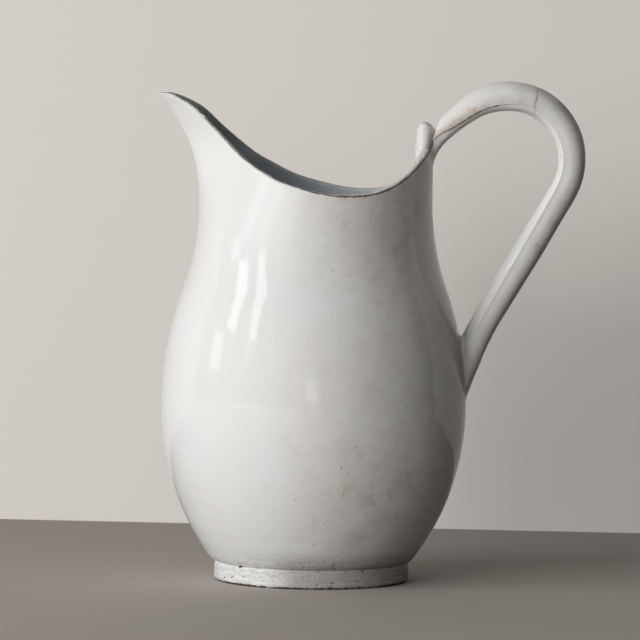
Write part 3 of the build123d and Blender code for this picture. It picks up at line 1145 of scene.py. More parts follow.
@dataclass(frozen=True)
class HandleForm:
    """The handle's skin as a function of the way along its line and the angle round it.

    Ways are in shares of the whole line, sizes in metres.
    """

    line: HandleLine
    ways: Table = (
        0.0, 0.03, 0.045, 0.07, 0.11, 0.22, 0.31, 0.44, 0.64, 0.82, 0.90, 0.955, 1.0,
    )
    uppers: Table = mm(
        2.6, 4.0, 5.8, 7.6, 7.7, 8.1, 7.9, 7.45, 7.8, 7.45, 6.4, 4.3, 1.7,
    )
    lowers: Table = mm(
        4.3, 4.3, 4.5, 4.8, 6.0, 8.0, 7.9, 7.45, 7.8, 7.45, 6.4, 4.3, 1.7,
    )
    widths: Table = mm(
        12.5, 14.0, 15.5, 17.0, 18.0, 19.6, 18.4, 17.2, 17.0, 16.4, 15.4, 13.0, 7.0,
    )
    edge_ways: Table = (
        0.0, 0.037, 0.072, 0.13, 0.18, 0.21, 0.27, 0.36, 0.50, 0.70, 0.90, 1.0,
    )
    edge_heights: Table = mm(
        1.0, 0.6, -1.7, -3.7, -4.3, -4.2, -3.6, -3.4, -3.0, -1.6, -0.5, 0.0,
    )
    edge_fade: Fade = Fade(70.0 * MM, -24.0 * MM)
    edge_softness: float = 0.09
    ledge: float = 0.05
    facet_power: float = 4.4
    facet_lean: float = 0.32
    limb_power: float = 2.5
    limb_fade: Fade = Fade(0.0, 40.0 * MM)
    ridge: Band = Band(-0.12, 0.09, 0.20 * MM)
    ridge_start: Fade = Fade(0.0, 12.0 * MM)
    ridge_end: Fade = Fade(0.0, 30.0 * MM)
    pull_stretch: float = 14.0
    pull_marks: Hills = Hills(3.2 * MM, 31, 0.10 * MM)
    dents: Hills = Hills(21.0 * MM, 37, 0.22 * MM)
    joint_shear: float = -0.27
    joint_fade: float = 14.0 * MM
    joint_groove: Band = Band(0.0, 0.40 * MM, 0.20 * MM)
    joint_breaks: Hills = Hills(5.0 * MM, 39, 0.6, 0.7)
    joint_lip: float = 0.10 * MM
    joint_lip_reach: float = 4.0 * MM

    def edge_fade_at(self, way: Array) -> Array:
        """Strength of the strap's side edge: whole near the root, gone towards the joint."""
        return self.edge_fade.at(way)

    def section(self, way: Array, angle: Array) -> tuple[Array, Array]:
        """The plain section: how far it reaches from its own middle, and where that middle is.

        Over the side edge the section is half an ellipse. Under the edge of the strap it is a
        narrower half, a super-ellipse whose sides lean in, so that the strap overhangs it by a
        small ledge. Both halves are measured from the edge's height.

        Args:
            way: distances along the line.
            angle: round the section, a quarter turn being outwards.

        Returns:
            The reach, and the height of the edge over the line.
        """
        share = way / self.line.length()
        edge = smooth_through(share, self.edge_ways, self.edge_heights)
        high = smooth_through(share, self.ways, self.uppers) - edge
        low = smooth_through(share, self.ways, self.lowers) + edge
        wide = smooth_through(share, self.ways, self.widths) / 2
        side, up = np.abs(np.cos(angle)), np.sin(angle)
        fade = self.edge_fade_at(way)
        limb = self.limb_fade.at(way - self.line.joint())
        power = 2.0 + (self.limb_power - 2.0) * limb
        over = ((side / wide) ** power + (np.abs(up) / high) ** power) ** (-1 / power)
        power = power + (self.facet_power - 2.0) * fade
        narrow = wide * (1 - self.ledge * fade)
        leaning = side / narrow + self.facet_lean * fade * np.abs(up) / low
        under = (leaning**power + (np.abs(up) / low) ** power) ** (-1 / power)
        reach = under + (over - under) * smooth_step(0.5 + up / self.edge_softness)
        return reach, edge

    def surface(self, way: Array, angle: Array) -> Array:
        """Points of the handle's skin.

        Fine pulling marks run along the handle, a slight ridge runs down the limb's two sides,
        and a groove and a raised lip ring the handle at the joint.

        Args:
            way: distances along the line, (rows, 1).
            angle: round the section from its side, (1, columns), a quarter turn being outwards.

        Returns:
            Points, (rows, columns, 3).
        """
        line = self.line
        way, angle = np.broadcast_arrays(way, angle)
        side, up = np.cos(angle), np.sin(angle)
        reach, edge = self.section(way, angle)
        past = way - line.joint()
        ridge = self.ridge.at(up) * self.ridge_start.at(past)
        reach = reach + ridge * self.ridge_end.at(line.length() - way)

        centre, direction, normal = line.frames(way)
        sideways = np.array([0.0, -1.0, 0.0])
        rolled = np.stack([reach * side, reach * up, way / self.pull_stretch], axis=-1)
        reach = reach + self.pull_marks.at(rolled)
        centre = centre + edge[..., None] * normal
        plain = centre + reach[..., None] * (side[..., None] * sideways + up[..., None] * normal)
        reach = reach + self.dents.at(plain)
        reach = reach - self.joint_groove.at(past) * self.joint_breaks.at(plain)
        lip = np.exp(-np.abs(past) / self.joint_lip_reach)
        reach = reach + self.joint_lip * np.where(past > 0, lip, 0.0)
        shear = self.joint_shear * smooth_step(1.0 - np.abs(past) / self.joint_fade)
        out = reach * up + edge
        return (
            centre
            + (reach * side)[..., None] * sideways
            + (reach * up)[..., None] * normal
            + (out * shear)[..., None] * direction
        )


@dataclass
class LoopedHandle:
    """The handle's two lengths and the slip wiped round its two ends."""

    form: VesselForm
    handle: HandleForm
    columns: int = 192
    crowding: float = 0.33
    joint_rows: int = 18
    joint_nearest: float = 0.01 * MM
    joint_near: float = 4.0 * MM
    strap_rows_end: float = 4.4 * MM
    limb_rows_start: float = 4.5 * MM
    root_leg: float = 11.0 * MM
    root_start: float = -11.0 * MM
    root_search: float = 42.0 * MM
    root_rim_gap: float = 0.5 * MM
    root_thinning: float = 9.0 * MM
    least_leg: float = 0.05 * MM
    tail_leg: float = 2.3 * MM
    tail_web: float = 7.0 * MM
    tail_search: float = 85.0 * MM
    bury: float = 0.12 * MM
    sunk_share: float = 0.6
    seam: Band = Band(0.0, 0.34 * MM, 0.493)
    seam_under: float = 0.45
    seam_over: Fade = Fade(-0.6, 1.0, 0.55)
    edge: Band = Band(-0.02, 0.07, 0.60)
    dark_breaks: Hills = Hills(3.0 * MM, 53, 0.9, 0.75)
    stain_floor: float = 0.22
    stain_top: float = 1.9
    strap_stain: Band = Band(0.05, 0.34, 2.5)
    strap_under: float = -0.05
    limb_stain: Fade = Fade(0.0, 90.0 * MM, 0.65)
    joint_stain: Band = Band(0.0, 1.3 * MM, 1.5)
    stain_clouds: Hills = Hills(18.0 * MM, 41, 0.5, 0.7)
    # Soiling over the strap's side edge, then painted shade on the loop's outside and on its inside
    # near the tail
    grip_grime: Band = Band(0.0, 0.42, 0.62)
    grip_end: Fade = Fade(0.55, -1.0)
    outer_painted_shade: Fade = Fade(0.25, 0.6, 0.50)
    outer_start: Fade = Fade(-0.5, 1.0)
    inner_shade_slope: float = 2.2
    dirt_and_shade_fade: float = 40.0 * MM
    tail_shade_fade: float = 80.0 * MM
    dirt_and_shade_clouds: Hills = Hills(9.0 * MM, 61, 0.5, 0.75)
    slip_stain: float = 0.12
    # Painted shade: dark lines in the creases along the slip's two edges
    foot_shade_line: Band = Band(0.95, 0.10, 0.8)
    crevice_shade_line: Band = Band(0.04, 0.06)
    crevice_shade_rise: Fade = Fade(0.0, 1 / 3, 0.75)
    slip_breaks: Hills = Hills(3.0 * MM, 59, 1.4, 0.6)

    def angles(self) -> Array:
        """Angles of the columns round the section, crowded at the two side edges.

        The even angle loses a share of the sine of twice itself. The order turns faces outwards.
        """
        even = np.linspace(0.0, 2 * math.pi, self.columns, endpoint=False)[None]
        return -(even - self.crowding * np.sin(2 * even))

    def kept_in_wall(self, points: Array) -> Array:
        """Hold the root's first rows in the middle of the neck's wall, out of the mouth.

        Args:
            points: rows of the handle's skin.

        Returns:
            The rows, with the points that lie deeper moved level to the middle of the wall.
        """
        depth, middle = self.form.clearance(points), -self.form.rim_wall / 2
        held = self.form.laid_on(points, np.full(depth.shape, middle))
        return np.where((depth < middle)[..., None], held, points)

    def tube(self, name: str, ways: Array, at_root: bool) -> bpy.types.Object:
        """A closed tube of the handle's skin.

        The seam at the joint and the strap's side edge are dark, each as a bell broken by noise.

        Args:
            name: the piece's name.
            ways: distances along the line, one for each row.
            at_root: whether its first rows are held in the neck's wall.

        Returns:
            The piece.
        """
        points = self.handle.surface(ways[:, None], self.angles())
        if at_root:
            points = self.kept_in_wall(points)
        up = np.sin(self.angles())
        seam = self.seam.at(ways - self.handle.line.joint())[:, None]
        seam = seam * (self.seam_under + self.seam_over.at(up))
        edge = self.edge.at(up) * self.handle.edge_fade_at(ways)[:, None]
        dark = (seam + edge) * self.dark_breaks.at(points)
        # Painted shade: the loop's outside and its inside near the tail are darkened, with some
        # soiling over the strap's edge
        grid = Grid.of(points, stain=self.under_tone(points, ways),
                       cavity=np.clip(dark, 0.0, 1.0), crawl=self.handle_dirt_and_shade(points, ways))
        return lay_mesh(name, [cap(points[0]), grid, cap(points[-1])], closes=False)

    def under_tone(self, points: Array, ways: Array) -> Array:
        """Stain of the handle: over the strap's side edge, along the limb and at the joint.

        The first and the last are bells, the second a smooth step, and noise clouds all three.

        Args:
            points: rows of the handle's skin.
            ways: distances along the line, one for each row.

        Returns:
            Stains from 0 to nearly 2.
        """
        up, past = np.sin(self.angles()), ways - self.handle.line.joint()
        strap = self.strap_stain.at(up) * (up > self.strap_under)
        strap = self.handle.edge_fade_at(ways)[:, None] * strap
        limb = self.limb_stain.at(past)[:, None] * smooth_step(0.5 + up)
        tone = (strap + limb + self.joint_stain.at(past)[:, None]) * self.stain_clouds.at(points)
        return np.clip(self.stain_floor + tone, 0.0, self.stain_top)

    def handle_dirt_and_shade(self, points: Array, ways: Array) -> Array:
        """Soiling on the strap's edge; painted shade on the loop's outside and inside near the
        tail.

        Each is a band round the section times a smooth step along the line, clouded by noise.

        Args:
            points: rows of the handle's skin.
            ways: distances along the line, one for each row.

        Returns:
            Shares from 0 to 1.
        """
        up, line = np.sin(self.angles()), self.handle.line
        ledge = self.handle.edge_fade_at(ways)[:, None]
        past = (ways - line.joint()) / self.dirt_and_shade_fade
        grip = self.grip_end.at(past)[:, None] * self.grip_grime.at(up)
        grip = grip * np.where(up > self.strap_under, 1.0, 1.0 - ledge)
        near = smooth_step((ways - line.length()) / self.tail_shade_fade + 1.0)[:, None]
        # Painted shade on the inner side near the tail, where the body shades it
        inner = near * smooth_step(-self.inner_shade_slope * up)
        # Painted shade on the loop's outer side, which little light reaches
        outer = self.outer_start.at(past)[:, None] * self.outer_painted_shade.at(up)
        return np.clip((inner + outer + grip) * self.dirt_and_shade_clouds.at(points), 0.0, 1.0)

    def strap(self) -> bpy.types.Object:
        """The upper length, from the neck to the joint, with rows crowded at the joint.

        Returns:
            The piece.
        """
        joint = self.handle.line.joint()
        near = joint - np.geomspace(self.joint_near, self.joint_nearest, self.joint_rows)
        far = np.linspace(self.root_start, joint - self.strap_rows_end, 130)
        return self.tube("handle_strap_upper", np.concatenate([far, near]), at_root=True)

    def limb(self) -> bpy.types.Object:
        """The lower length, from the joint to the tail, with rows crowded at the joint.

        Returns:
            The piece.
        """
        joint, end = self.handle.line.joint(), self.handle.line.length()
        near = joint + np.geomspace(self.joint_nearest, self.joint_near, self.joint_rows)
        far = np.linspace(joint + self.limb_rows_start, end, 300)
        return self.tube("handle_limb_lower", np.concatenate([near, far]), at_root=False)

    def meeting(self, ways: Array, stand_off: Array) -> Array:
        """Points where each column of the handle's skin comes down to a stand-off.

        Every column is read from the free side towards the vessel, and the first place under
        the stand-off is found between two rows by proportion.

        Args:
            ways: distances along the line, from the free side to the vessel.
            stand_off: height over the vessel's skin for each column.

        Returns:
            One point for each column, (columns, 3).
        """
        points = self.handle.surface(ways[:, None], self.angles())
        over = self.form.clearance(points) - stand_off
        below = over <= 0.0
        below[-1] = True
        row = np.maximum(below.argmax(axis=0), 1)
        column = np.arange(self.columns)
        above, under = over[row - 1, column], over[row, column]
        share = np.clip(above / np.where(above > under, above - under, 1.0), 0.0, 1.0)
        return points[row - 1, column] * (1 - share)[:, None] + points[row, column] * share[:, None]

    def fillet(self, name: str, ways: Array, leg: Array, crevice_shade: Array) -> bpy.types.Object:
        """Slip wiped round the handle where it meets the vessel.

        Across the fillet the skin is a parabola. It leaves the handle along the handle, at a
        leg's height over the vessel, and meets the vessel's skin level, a leg away from the
        corner. A hidden row inside the clay closes the ring.

        Args:
            name: the piece's name.
            ways: distances along the line, from the free side to the vessel.
            leg: width of the fillet for each column.
            crevice_shade: strength of the painted shade where the slip leaves the handle, for each
                column.

        Returns:
            The piece.
        """
        corner = self.meeting(ways, np.zeros(self.columns))
        upper = self.meeting(ways, leg)
        around = np.roll(corner, -1, axis=0) - np.roll(corner, 1, axis=0)
        skin_normal = unit(corner * (1.0, 1.0, 0.0))
        spread = unit(np.cross(skin_normal, around))
        middle = corner.mean(axis=0)
        spread = spread * np.sign(((corner - middle) * spread).sum(axis=-1))[:, None]
        foot = self.form.laid_on(corner + spread * leg[:, None], np.full(self.columns, -self.bury))
        corner = self.form.laid_on(corner, np.zeros(self.columns))
        upper = upper - spread * self.bury
        t = np.linspace(0.0, 1.0, 18)[:, None, None]
        rows = upper * (1 - t) ** 2 + 2 * corner * t * (1 - t) + foot * t**2
        sunk = corner - (skin_normal + spread) * (self.sunk_share * leg[:, None] + self.bury)
        # Painted shade: dark lines where the slip meets the vessel and, on the tail's inner side,
        # where it leaves the handle
        lines = self.foot_shade_line.at(t[..., 0]) + crevice_shade * self.crevice_shade_line.at(t[..., 0])
        dark = np.clip(lines * self.slip_breaks.at(rows), 0.0, 1.0)
        grid = Grid.of(rows, stain=np.full((1, 1), self.slip_stain), cavity=dark)
        return lay_mesh(name, [grid, Grid.hidden(sunk[None])], closes=True)

    def root_slip(self) -> bpy.types.Object:
        """Slip under and beside the root. It thins to nothing where it nears the rim.

        Returns:
            The piece.
        """
        ways = np.linspace(self.root_search, self.root_start, 200)
        corner = self.meeting(ways, np.zeros(self.columns))
        under_rim = self.form.rim_back_height + self.root_rim_gap - corner[:, 2]
        leg = self.root_leg * smooth_step(under_rim / self.root_thinning) + self.least_leg
        return self.fillet("root_slip", ways, leg, np.zeros(self.columns))

    def tail_slip(self) -> bpy.types.Object:
        """Slip wiped round the tail on the belly, with a web in the corner over it.

        Returns:
            The piece.
        """
        end = self.handle.line.length()
        ways = np.linspace(end - self.tail_search, end, 280)
        inner = np.maximum(-np.sin(self.angles()[0]), 0.0)
        leg = self.tail_leg + self.tail_web * inner**2
        # The inner side gets a painted shade line in its crease
        return self.fillet("tail_slip", ways, leg, self.crevice_shade_rise.at(inner))


@dataclass(frozen=True)
class ThumbRest:
    """The bud of clay that stands on the rim against the handle."""

    form: VesselForm
    columns: int = 96
    rise: float = 10.5 * MM
    drop: float = 30.0 * MM
    shares: Table = (0.0, 0.13, 0.27, 0.4, 0.53, 0.67, 0.8, 0.9, 0.965, 1.0)
    fronts: Table = mm(
        60.5, 57.6, 54.7, 53.7, 54.1, 54.6, 54.9, 55.5, 56.7, 58.5,
    )
    backs: Table = mm(
        61.5, 62.5, 63.2, 63.9, 64.8, 65.6, 65.4, 64.1, 62.4, 60.0,
    )
    breadths: Table = mm(2.0, 7.0, 11.0, 12.2, 11.4, 9.8, 8.0, 6.4, 4.6, 1.4)
    dents: Hills = Hills(8.0 * MM, 43, 0.28 * MM)
    grains: Hills = Hills(2.0 * MM, 47, 0.08 * MM)
    stain: float = 0.3
    worn: Fade = Fade(0.6, 0.4, 0.55)
    # Painted shade in the corner between the bud and the strap
    corner_shade_top: Fade = Fade(0.93, -0.2)
    corner_shade_side: Fade = Fade(0.1, 0.6, 0.95)

    def piece(self) -> bpy.types.Object:
        """The bud's closed mesh: ovals stacked along a leaning line, rounded at the tip.

        Returns:
            The piece.
        """
        form = self.form
        share = (1 - np.cos(np.linspace(0.0, math.pi, 72))) / 2
        angle = np.linspace(0.0, 2 * math.pi, self.columns, endpoint=False)[None]
        level = form.rim_back_height + self.rise - self.drop * (1.0 - share)
        front, back, breadth = (
            smooth_through(share, self.shares, values)[:, None]
            for values in (self.fronts, self.backs, self.breadths)
        )
        x = (front + back) / 2 + (back - front) / 2 * np.cos(angle)
        y = breadth * np.sin(angle)
        plain = np.stack(np.broadcast_arrays(x, y, level[:, None]), axis=-1)
        push = self.dents.at(plain) + self.grains.at(plain)
        points = plain + grid_normals(plain) * push[..., None]
        # Painted shade on the bud's side towards the strap, below its tip, in the corner between
        # them
        corner = self.corner_shade_side.at(np.cos(angle)) * self.corner_shade_top.at(share)[:, None]
        grid = Grid.of(points, wear=self.worn.at(share)[:, None], crawl=corner,
                       stain=np.full((1, 1), self.stain))
        return lay_mesh("thumb_rest_bud", [cap(points[0]), grid, cap(points[-1])], closes=False)


# ---------------------------------------------------------------------------------------------
# Finishes


class Signal:
    """An output of a node. Plain arithmetic on it adds the math node that works it out."""

    def __init__(self, bench: "NodeBench", socket: bpy.types.NodeSocket) -> None:
        """Hold an output of one of a bench's nodes."""
        self.bench, self.socket = bench, socket

    def __add__(self, other: object) -> "Signal":
        """The sum of the two."""
        return self.bench.math("ADD", self, other)

    def __sub__(self, other: object) -> "Signal":
        """This less the other."""
        return self.bench.math("SUBTRACT", self, other)

    def __rsub__(self, other: object) -> "Signal":
        """The other less this."""
        return self.bench.math("SUBTRACT", other, self)

    def __mul__(self, other: object) -> "Signal":
        """The product of the two."""
        return self.bench.math("MULTIPLY", self, other)

    def or_more(self, other: object) -> "Signal":
        """The greater of the two."""
        return self.bench.math("MAXIMUM", self, other)

    def held(self) -> "Signal":
        """The same, which its own math node holds between 0 and 1."""
        self.socket.node.use_clamp = True
        return self

    def eased(self, low: float, high: float) -> "Signal":
        """A smooth step over the signal.

        Args:
            low: where the step is at 0.
            high: where it is at 1, which may be the smaller number.

        Returns:
            The step's height.
        """
        ends = (low, high, 0.0, 1.0) if low < high else (high, low, 1.0, 0.0)
        feeds = dict(zip(("From Min", "From Max", "To Min", "To Max"), ends), Value=self)
        return self.bench.output("ShaderNodeMapRange", "Result", feeds,
                                 interpolation_type="SMOOTHSTEP")


@dataclass(frozen=True)
class Pattern:
    """Noise in a finish: how broad and how fine its hills are, and the span that is eased.

    A stretch below 1 draws the hills out along that axis.
    """

    cell: float
    detail: float = 2.0
    rough: float = 0.5
    span: Span = (0.0, 1.0)
    stretch: Triple | None = None


@dataclass(frozen=True)
class Dots:
    """Scattered dots, one per cell of space: the cell's side, a dot's radius and its strength."""

    cell: float
    radius: float
    strength: float
    core: float = 0.45


class NodeBench:
    """A material's node tree, with short calls that add one node and hand back its output."""

    def __init__(self, name: str) -> None:
        """Start a material with a principled shader.

        Args:
            name: the material's name.
        """
        self.material = bpy.data.materials.new(name)
        self.material.use_nodes = True
        self.tree = self.material.node_tree
        self.shader = self.tree.nodes["Principled BSDF"]
        self.place = self.output("ShaderNodeTexCoord", "Object")

    def feed(self, node: bpy.types.Node, feeds: dict[str | int, object]) -> None:
        """Link outputs to a node's inputs, or set the inputs to plain values.

        Args:
            node: the node.
            feeds: what each input gets, by the input's name or number. A colour is three parts.
        """
        for key, value in feeds.items():
            socket = node.inputs[key]
            if isinstance(value, Signal):
                self.tree.links.new(value.socket, socket)
            else:
                socket.default_value = (*value, 1.0) if socket.type == "RGBA" else value

    def output(self, kind: str, output: str | int, feeds: dict[str | int, object] | None = None,
               **settings: object) -> Signal:
        """Add a node and read one of its outputs.

        Args:
            kind: the node's type.
            output: the output's name or number.
            feeds: what each input gets.
            **settings: the node's own settings, by name.

        Returns:
            The output.
        """
        node = self.tree.nodes.new(kind)
        for key, value in settings.items():
            setattr(node, key, value)
        self.feed(node, feeds or {})
        return Signal(self, node.outputs[output])

    def math(self, operation: str, *values: object) -> Signal:
        """A math node over two values, each an output or a plain number."""
        return self.output("ShaderNodeMath", 0, dict(enumerate(values)), operation=operation)

    def height(self) -> Signal:
        """The place's height over the table, in metres."""
        return self.output("ShaderNodeSeparateXYZ", "Z", {0: self.place})

    def mask(self, mask: Mask) -> Signal:
        """One of the surface's own masks."""
        return self.output("ShaderNodeAttribute", "Fac", attribute_name=mask.value)

    def hills(self, pattern: Pattern) -> Signal:
        """Noise between 0 and 1.

        Args:
            pattern: what the noise is like.

        Returns:
            The height of its hills.
        """
        place = self.place
        if pattern.stretch:
            place = self.output("ShaderNodeVectorMath", 0, {0: place, 1: pattern.stretch},
                                operation="MULTIPLY")
        feeds = {"Vector": place, "Scale": 1.0 / pattern.cell, "Detail": pattern.detail,
                 "Roughness": pattern.rough}
        return self.output("ShaderNodeTexNoise", "Fac", feeds, noise_dimensions="3D")

    def clouds(self, pattern: Pattern) -> Signal:
        """Noise that is eased over the pattern's span, so that it has flat parts at 0 and 1."""
        return self.hills(pattern).eased(*pattern.span)

    def dots(self, dots: Dots) -> Signal:
        """Scattered dots: 1 in the core of a dot, 0 outside it.

        Args:
            dots: their spacing and size.

        Returns:
            The share of a dot at each place.
        """
        feeds = {"Vector": self.place, "Scale": 1.0 / dots.cell}
        away = self.output("ShaderNodeTexVoronoi", "Distance", feeds, feature="F1",
                           distance="EUCLIDEAN")
        return away.eased(dots.radius / dots.cell, dots.core * dots.radius / dots.cell)

    def mixed(self, share: Signal, first: object, second: object) -> Signal:
        """A colour between two colours, the second at a share of 1."""
        feeds = {"Factor": share, 6: first, 7: second}
        return self.output("ShaderNodeMix", 2, feeds, data_type="RGBA", blend_type="MIX")

    def bumped(self, height: Signal, depth: float, under: Signal | None = None) -> Signal:
        """A normal bent by a height.

        Args:
            height: from 0 to 1.
            depth: how deep 1 is, in metres.
            under: the normal that is bent; the surface's own if there is none.

        Returns:
            The bent normal.
        """
        feeds = {"Distance": depth, "Height": height} | ({"Normal": under} if under else {})
        return self.output("ShaderNodeBump", "Normal", feeds)


@dataclass(frozen=True)
class Glaze:
    """A tin-white glaze over brown clay, brushed on by hand and worn by use."""

    name: str
    cool: Triple = (0.800, 0.812, 0.815)
    warm: Triple = (0.815, 0.795, 0.765)
    tint: Triple = (0.56, 0.43, 0.33)
    fleck: Triple = (0.24, 0.165, 0.12)
    worn: Triple = (0.80, 0.79, 0.77)
    # Also the colour of the painted shade in creases round the slip and at the foot's edge
    clay: Triple = (0.075, 0.052, 0.042)
    # Painted light: a cool, darker tint that stands for the dim light inside the pitcher
    inside: Triple = (0.66, 0.71, 0.77)
    # Painted shade inside, towards the spout
    deep: Triple = (0.27, 0.30, 0.34)
    scuff: Triple = (0.42, 0.43, 0.46)
    # Soiling, and painted shade on the handle and the bud and in part on the foot
    grime_and_shade: Triple = (0.29, 0.27, 0.25)

    clouds: Pattern = Pattern(62 * MM, 3.0, 0.55, (0.36, 0.66))
    cloud_share: float = 0.75
    streaks: Pattern = Pattern(7 * MM, 2.0, 0.6, (0.35, 0.75), (1.0, 1.0, 0.09))
    streak_share: float = 0.22
    mottle: Pattern = Pattern(15 * MM, 4.0, 0.62, (0.38, 0.72))
    mottle_share: float = 0.5
    blots: Pattern = Pattern(9 * MM, 3.0, 0.55, (0.46, 0.78))
    even_tint: float = 0.34
    tint_share: float = 0.42
    patches: Pattern = Pattern(24 * MM, 2.0, 0.5, (0.36, 0.60))
    even_flecks: float = 0.22
    small_dots: Dots = Dots(2.9 * MM, 0.55 * MM, 0.44)
    large_dots: Dots = Dots(7.0 * MM, 0.72 * MM, 0.72)
    pinholes: Dots = Dots(17 * MM, 0.50 * MM, 0.75)
    # How much soiling and painted shade show, by the stained share
    grime_and_shade_span: Span = (0.02, 0.22)
    grime_and_shade_share: float = 0.72
    dirt_and_shade_mottle: Pattern = Pattern(2.4 * MM, 5.0, 0.7, (0.42, 0.66), (0.45, 0.45, 1.6))
    dirt_and_shade_share: float = 0.38
    # How much of the inside's painted cool, dim light shows
    cool_inside_shade_share: float = 0.8
    spout_shade_share: float = 0.6
    grain: Pattern = Pattern(1.1 * MM, 4.0, 0.65)
    rub_grain: float = 0.7
    rub_span: Span = (0.90, 1.20)
    scuffs: Pattern = Pattern(0.9 * MM, 3.0, 0.6, (0.50, 0.66))
    scuff_span: Span = (0.35, 0.8)
    scuff_share: float = 0.6
    scuff_clean_span: Span = (0.40, 0.08)
    line_grain: float = 1.6
    line_breaks: Pattern = Pattern(9 * MM, 2.0, 0.5)
    line_break_share: float = 0.9
    line_span: Span = (0.50, 0.72)
    line_share: float = 0.85
    clay_and_shade_span: Span = (0.30, 0.75)

    breath: Pattern = Pattern(30 * MM, 3.0)
    breath_gloss: float = 0.05
    gloss: float = 0.035
    neck_span: Span = (176 * MM, 200 * MM)
    neck_gloss: float = 0.20
    worn_gloss: float = 0.42
    crawl_gloss: float = 0.36
    bare_gloss: float = 0.4
    refraction: float = 1.5

    peel: Pattern = Pattern(6.5 * MM, 2.0, 0.5)
    peel_depth: float = 0.075 * MM
    bristle: Pattern = Pattern(0.9 * MM, 2.0, 0.5)
    bristle_depth: float = 0.004 * MM
    fleck_depth: float = 0.10 * MM
    coarse: Pattern = Pattern(1.1 * MM, 5.0, 0.7)
    coarse_depth: float = 0.22 * MM

    def flecks(self, bench: NodeBench, stain: Signal) -> Signal:
        """Work out where the flecks are: dots of two sizes in patches, and pinholes everywhere.

        Args:
            bench: the material's nodes.
            stain: the surface's stain, which has more flecks.

        Returns:
            The flecks, as shares.
        """
        patchy = bench.clouds(self.patches) * (stain + self.even_flecks).held()
        small, large = (bench.dots(dots) * patchy * dots.strength
                        for dots in (self.small_dots, self.large_dots))
        holes = bench.dots(self.pinholes) * self.pinholes.strength
        return small.or_more(large).or_more(holes)

    def bare_and_shade(self, bench: NodeBench, grain: Signal) -> Signal:
        """Find where clay shows: the rim's line, broken by noise, pits, seams and painted shade.

        Args:
            bench: the material's nodes.
            grain: the surface's fine noise.

        Returns:
            The unglazed clay and painted shade, as shares.
        """
        line = bench.mask(Mask.LINE) + (grain - 0.5) * self.line_grain
        line = line + (bench.hills(self.line_breaks) - 0.5) * self.line_break_share
        # Unglazed clay, dark joints and painted shade in creases
        cavity = bench.mask(Mask.CAVITY).eased(*self.clay_and_shade_span)
        return (line.eased(*self.line_span) * self.line_share).or_more(cavity)

    def colour(self, bench: NodeBench) -> tuple[Signal, Signal, Signal]:
        """Lay the glaze's colours over each other, from its white to clay that also paints shade.

        Args:
            bench: the material's nodes.

        Returns:
            The colour, the flecks, and the clay with painted shade, the last two as shares.
        """
        stain, crawl, inner, wear = (
            bench.mask(mask) for mask in (Mask.STAIN, Mask.CRAWL, Mask.INNER, Mask.WEAR)
        )
        grain = bench.hills(self.grain)
        flecks, bare_and_shade = self.flecks(bench, stain), self.bare_and_shade(bench, grain)
        mottle = bench.clouds(self.mottle) * self.mottle_share + bench.clouds(self.blots)
        scuffed = bench.clouds(self.scuffs) * (wear.eased(*self.scuff_span) * self.scuff_share)
        layers = [
            (bench.clouds(self.clouds) * self.cloud_share, self.warm),
            (bench.clouds(self.streaks) * self.streak_share, self.warm),
            ((stain * (mottle + self.even_tint) * self.tint_share).held(), self.tint),
            (flecks, self.fleck),
            # Soiling and painted shade: on the handle and the bud it darkens where shade falls; on
            # the foot, soiling that darkens towards the handle's side, in part painted shade
            (crawl * (stain.eased(*self.grime_and_shade_span) * self.grime_and_shade_share), self.grime_and_shade),
            (bench.clouds(self.dirt_and_shade_mottle) * crawl * self.dirt_and_shade_share, self.grime_and_shade),
            # Painted light: the inside's cool, dim tint
            (inner * self.cool_inside_shade_share, self.inside),
            # Painted shade inside, towards the spout
            (inner * stain * self.spout_shade_share, self.deep),
            ((wear + grain * self.rub_grain).eased(*self.rub_span), self.worn),
            (scuffed * stain.eased(*self.scuff_clean_span), self.scuff),
            # Unglazed clay, which also paints shade in creases
            (bare_and_shade, self.clay),
        ]
        colour = self.cool
        for share, over in layers:
            colour = bench.mixed(share, colour, over)
        return colour, flecks, bare_and_shade

    def build(self) -> bpy.types.Material:
        """Build the material.

        Returns:
            The material, with colour, gloss and relief that vary over the surface.
        """
        bench = NodeBench(self.name)
        colour, flecks, bare_and_shade = self.colour(bench)
        wear, crawl = bench.mask(Mask.WEAR), bench.mask(Mask.CRAWL)
        neck = bench.height().eased(*self.neck_span) * self.neck_gloss
        rough = bench.hills(self.breath) * self.breath_gloss + self.gloss + neck
        rough = rough + wear * self.worn_gloss + crawl * self.crawl_gloss + bare_and_shade * self.bare_gloss
        coarse = bench.hills(self.coarse) * crawl.or_more(wear)
        normal = bench.bumped(bench.hills(self.peel), self.peel_depth)
        normal = bench.bumped(bench.hills(self.bristle), self.bristle_depth, normal)
        normal = bench.bumped(1.0 - flecks, self.fleck_depth, normal)
        normal = bench.bumped(coarse, self.coarse_depth, normal)
        bench.feed(bench.shader, {"Base Color": colour, "Roughness": rough.held(),
                                  "Normal": normal, "IOR": self.refraction})
        return bench.material


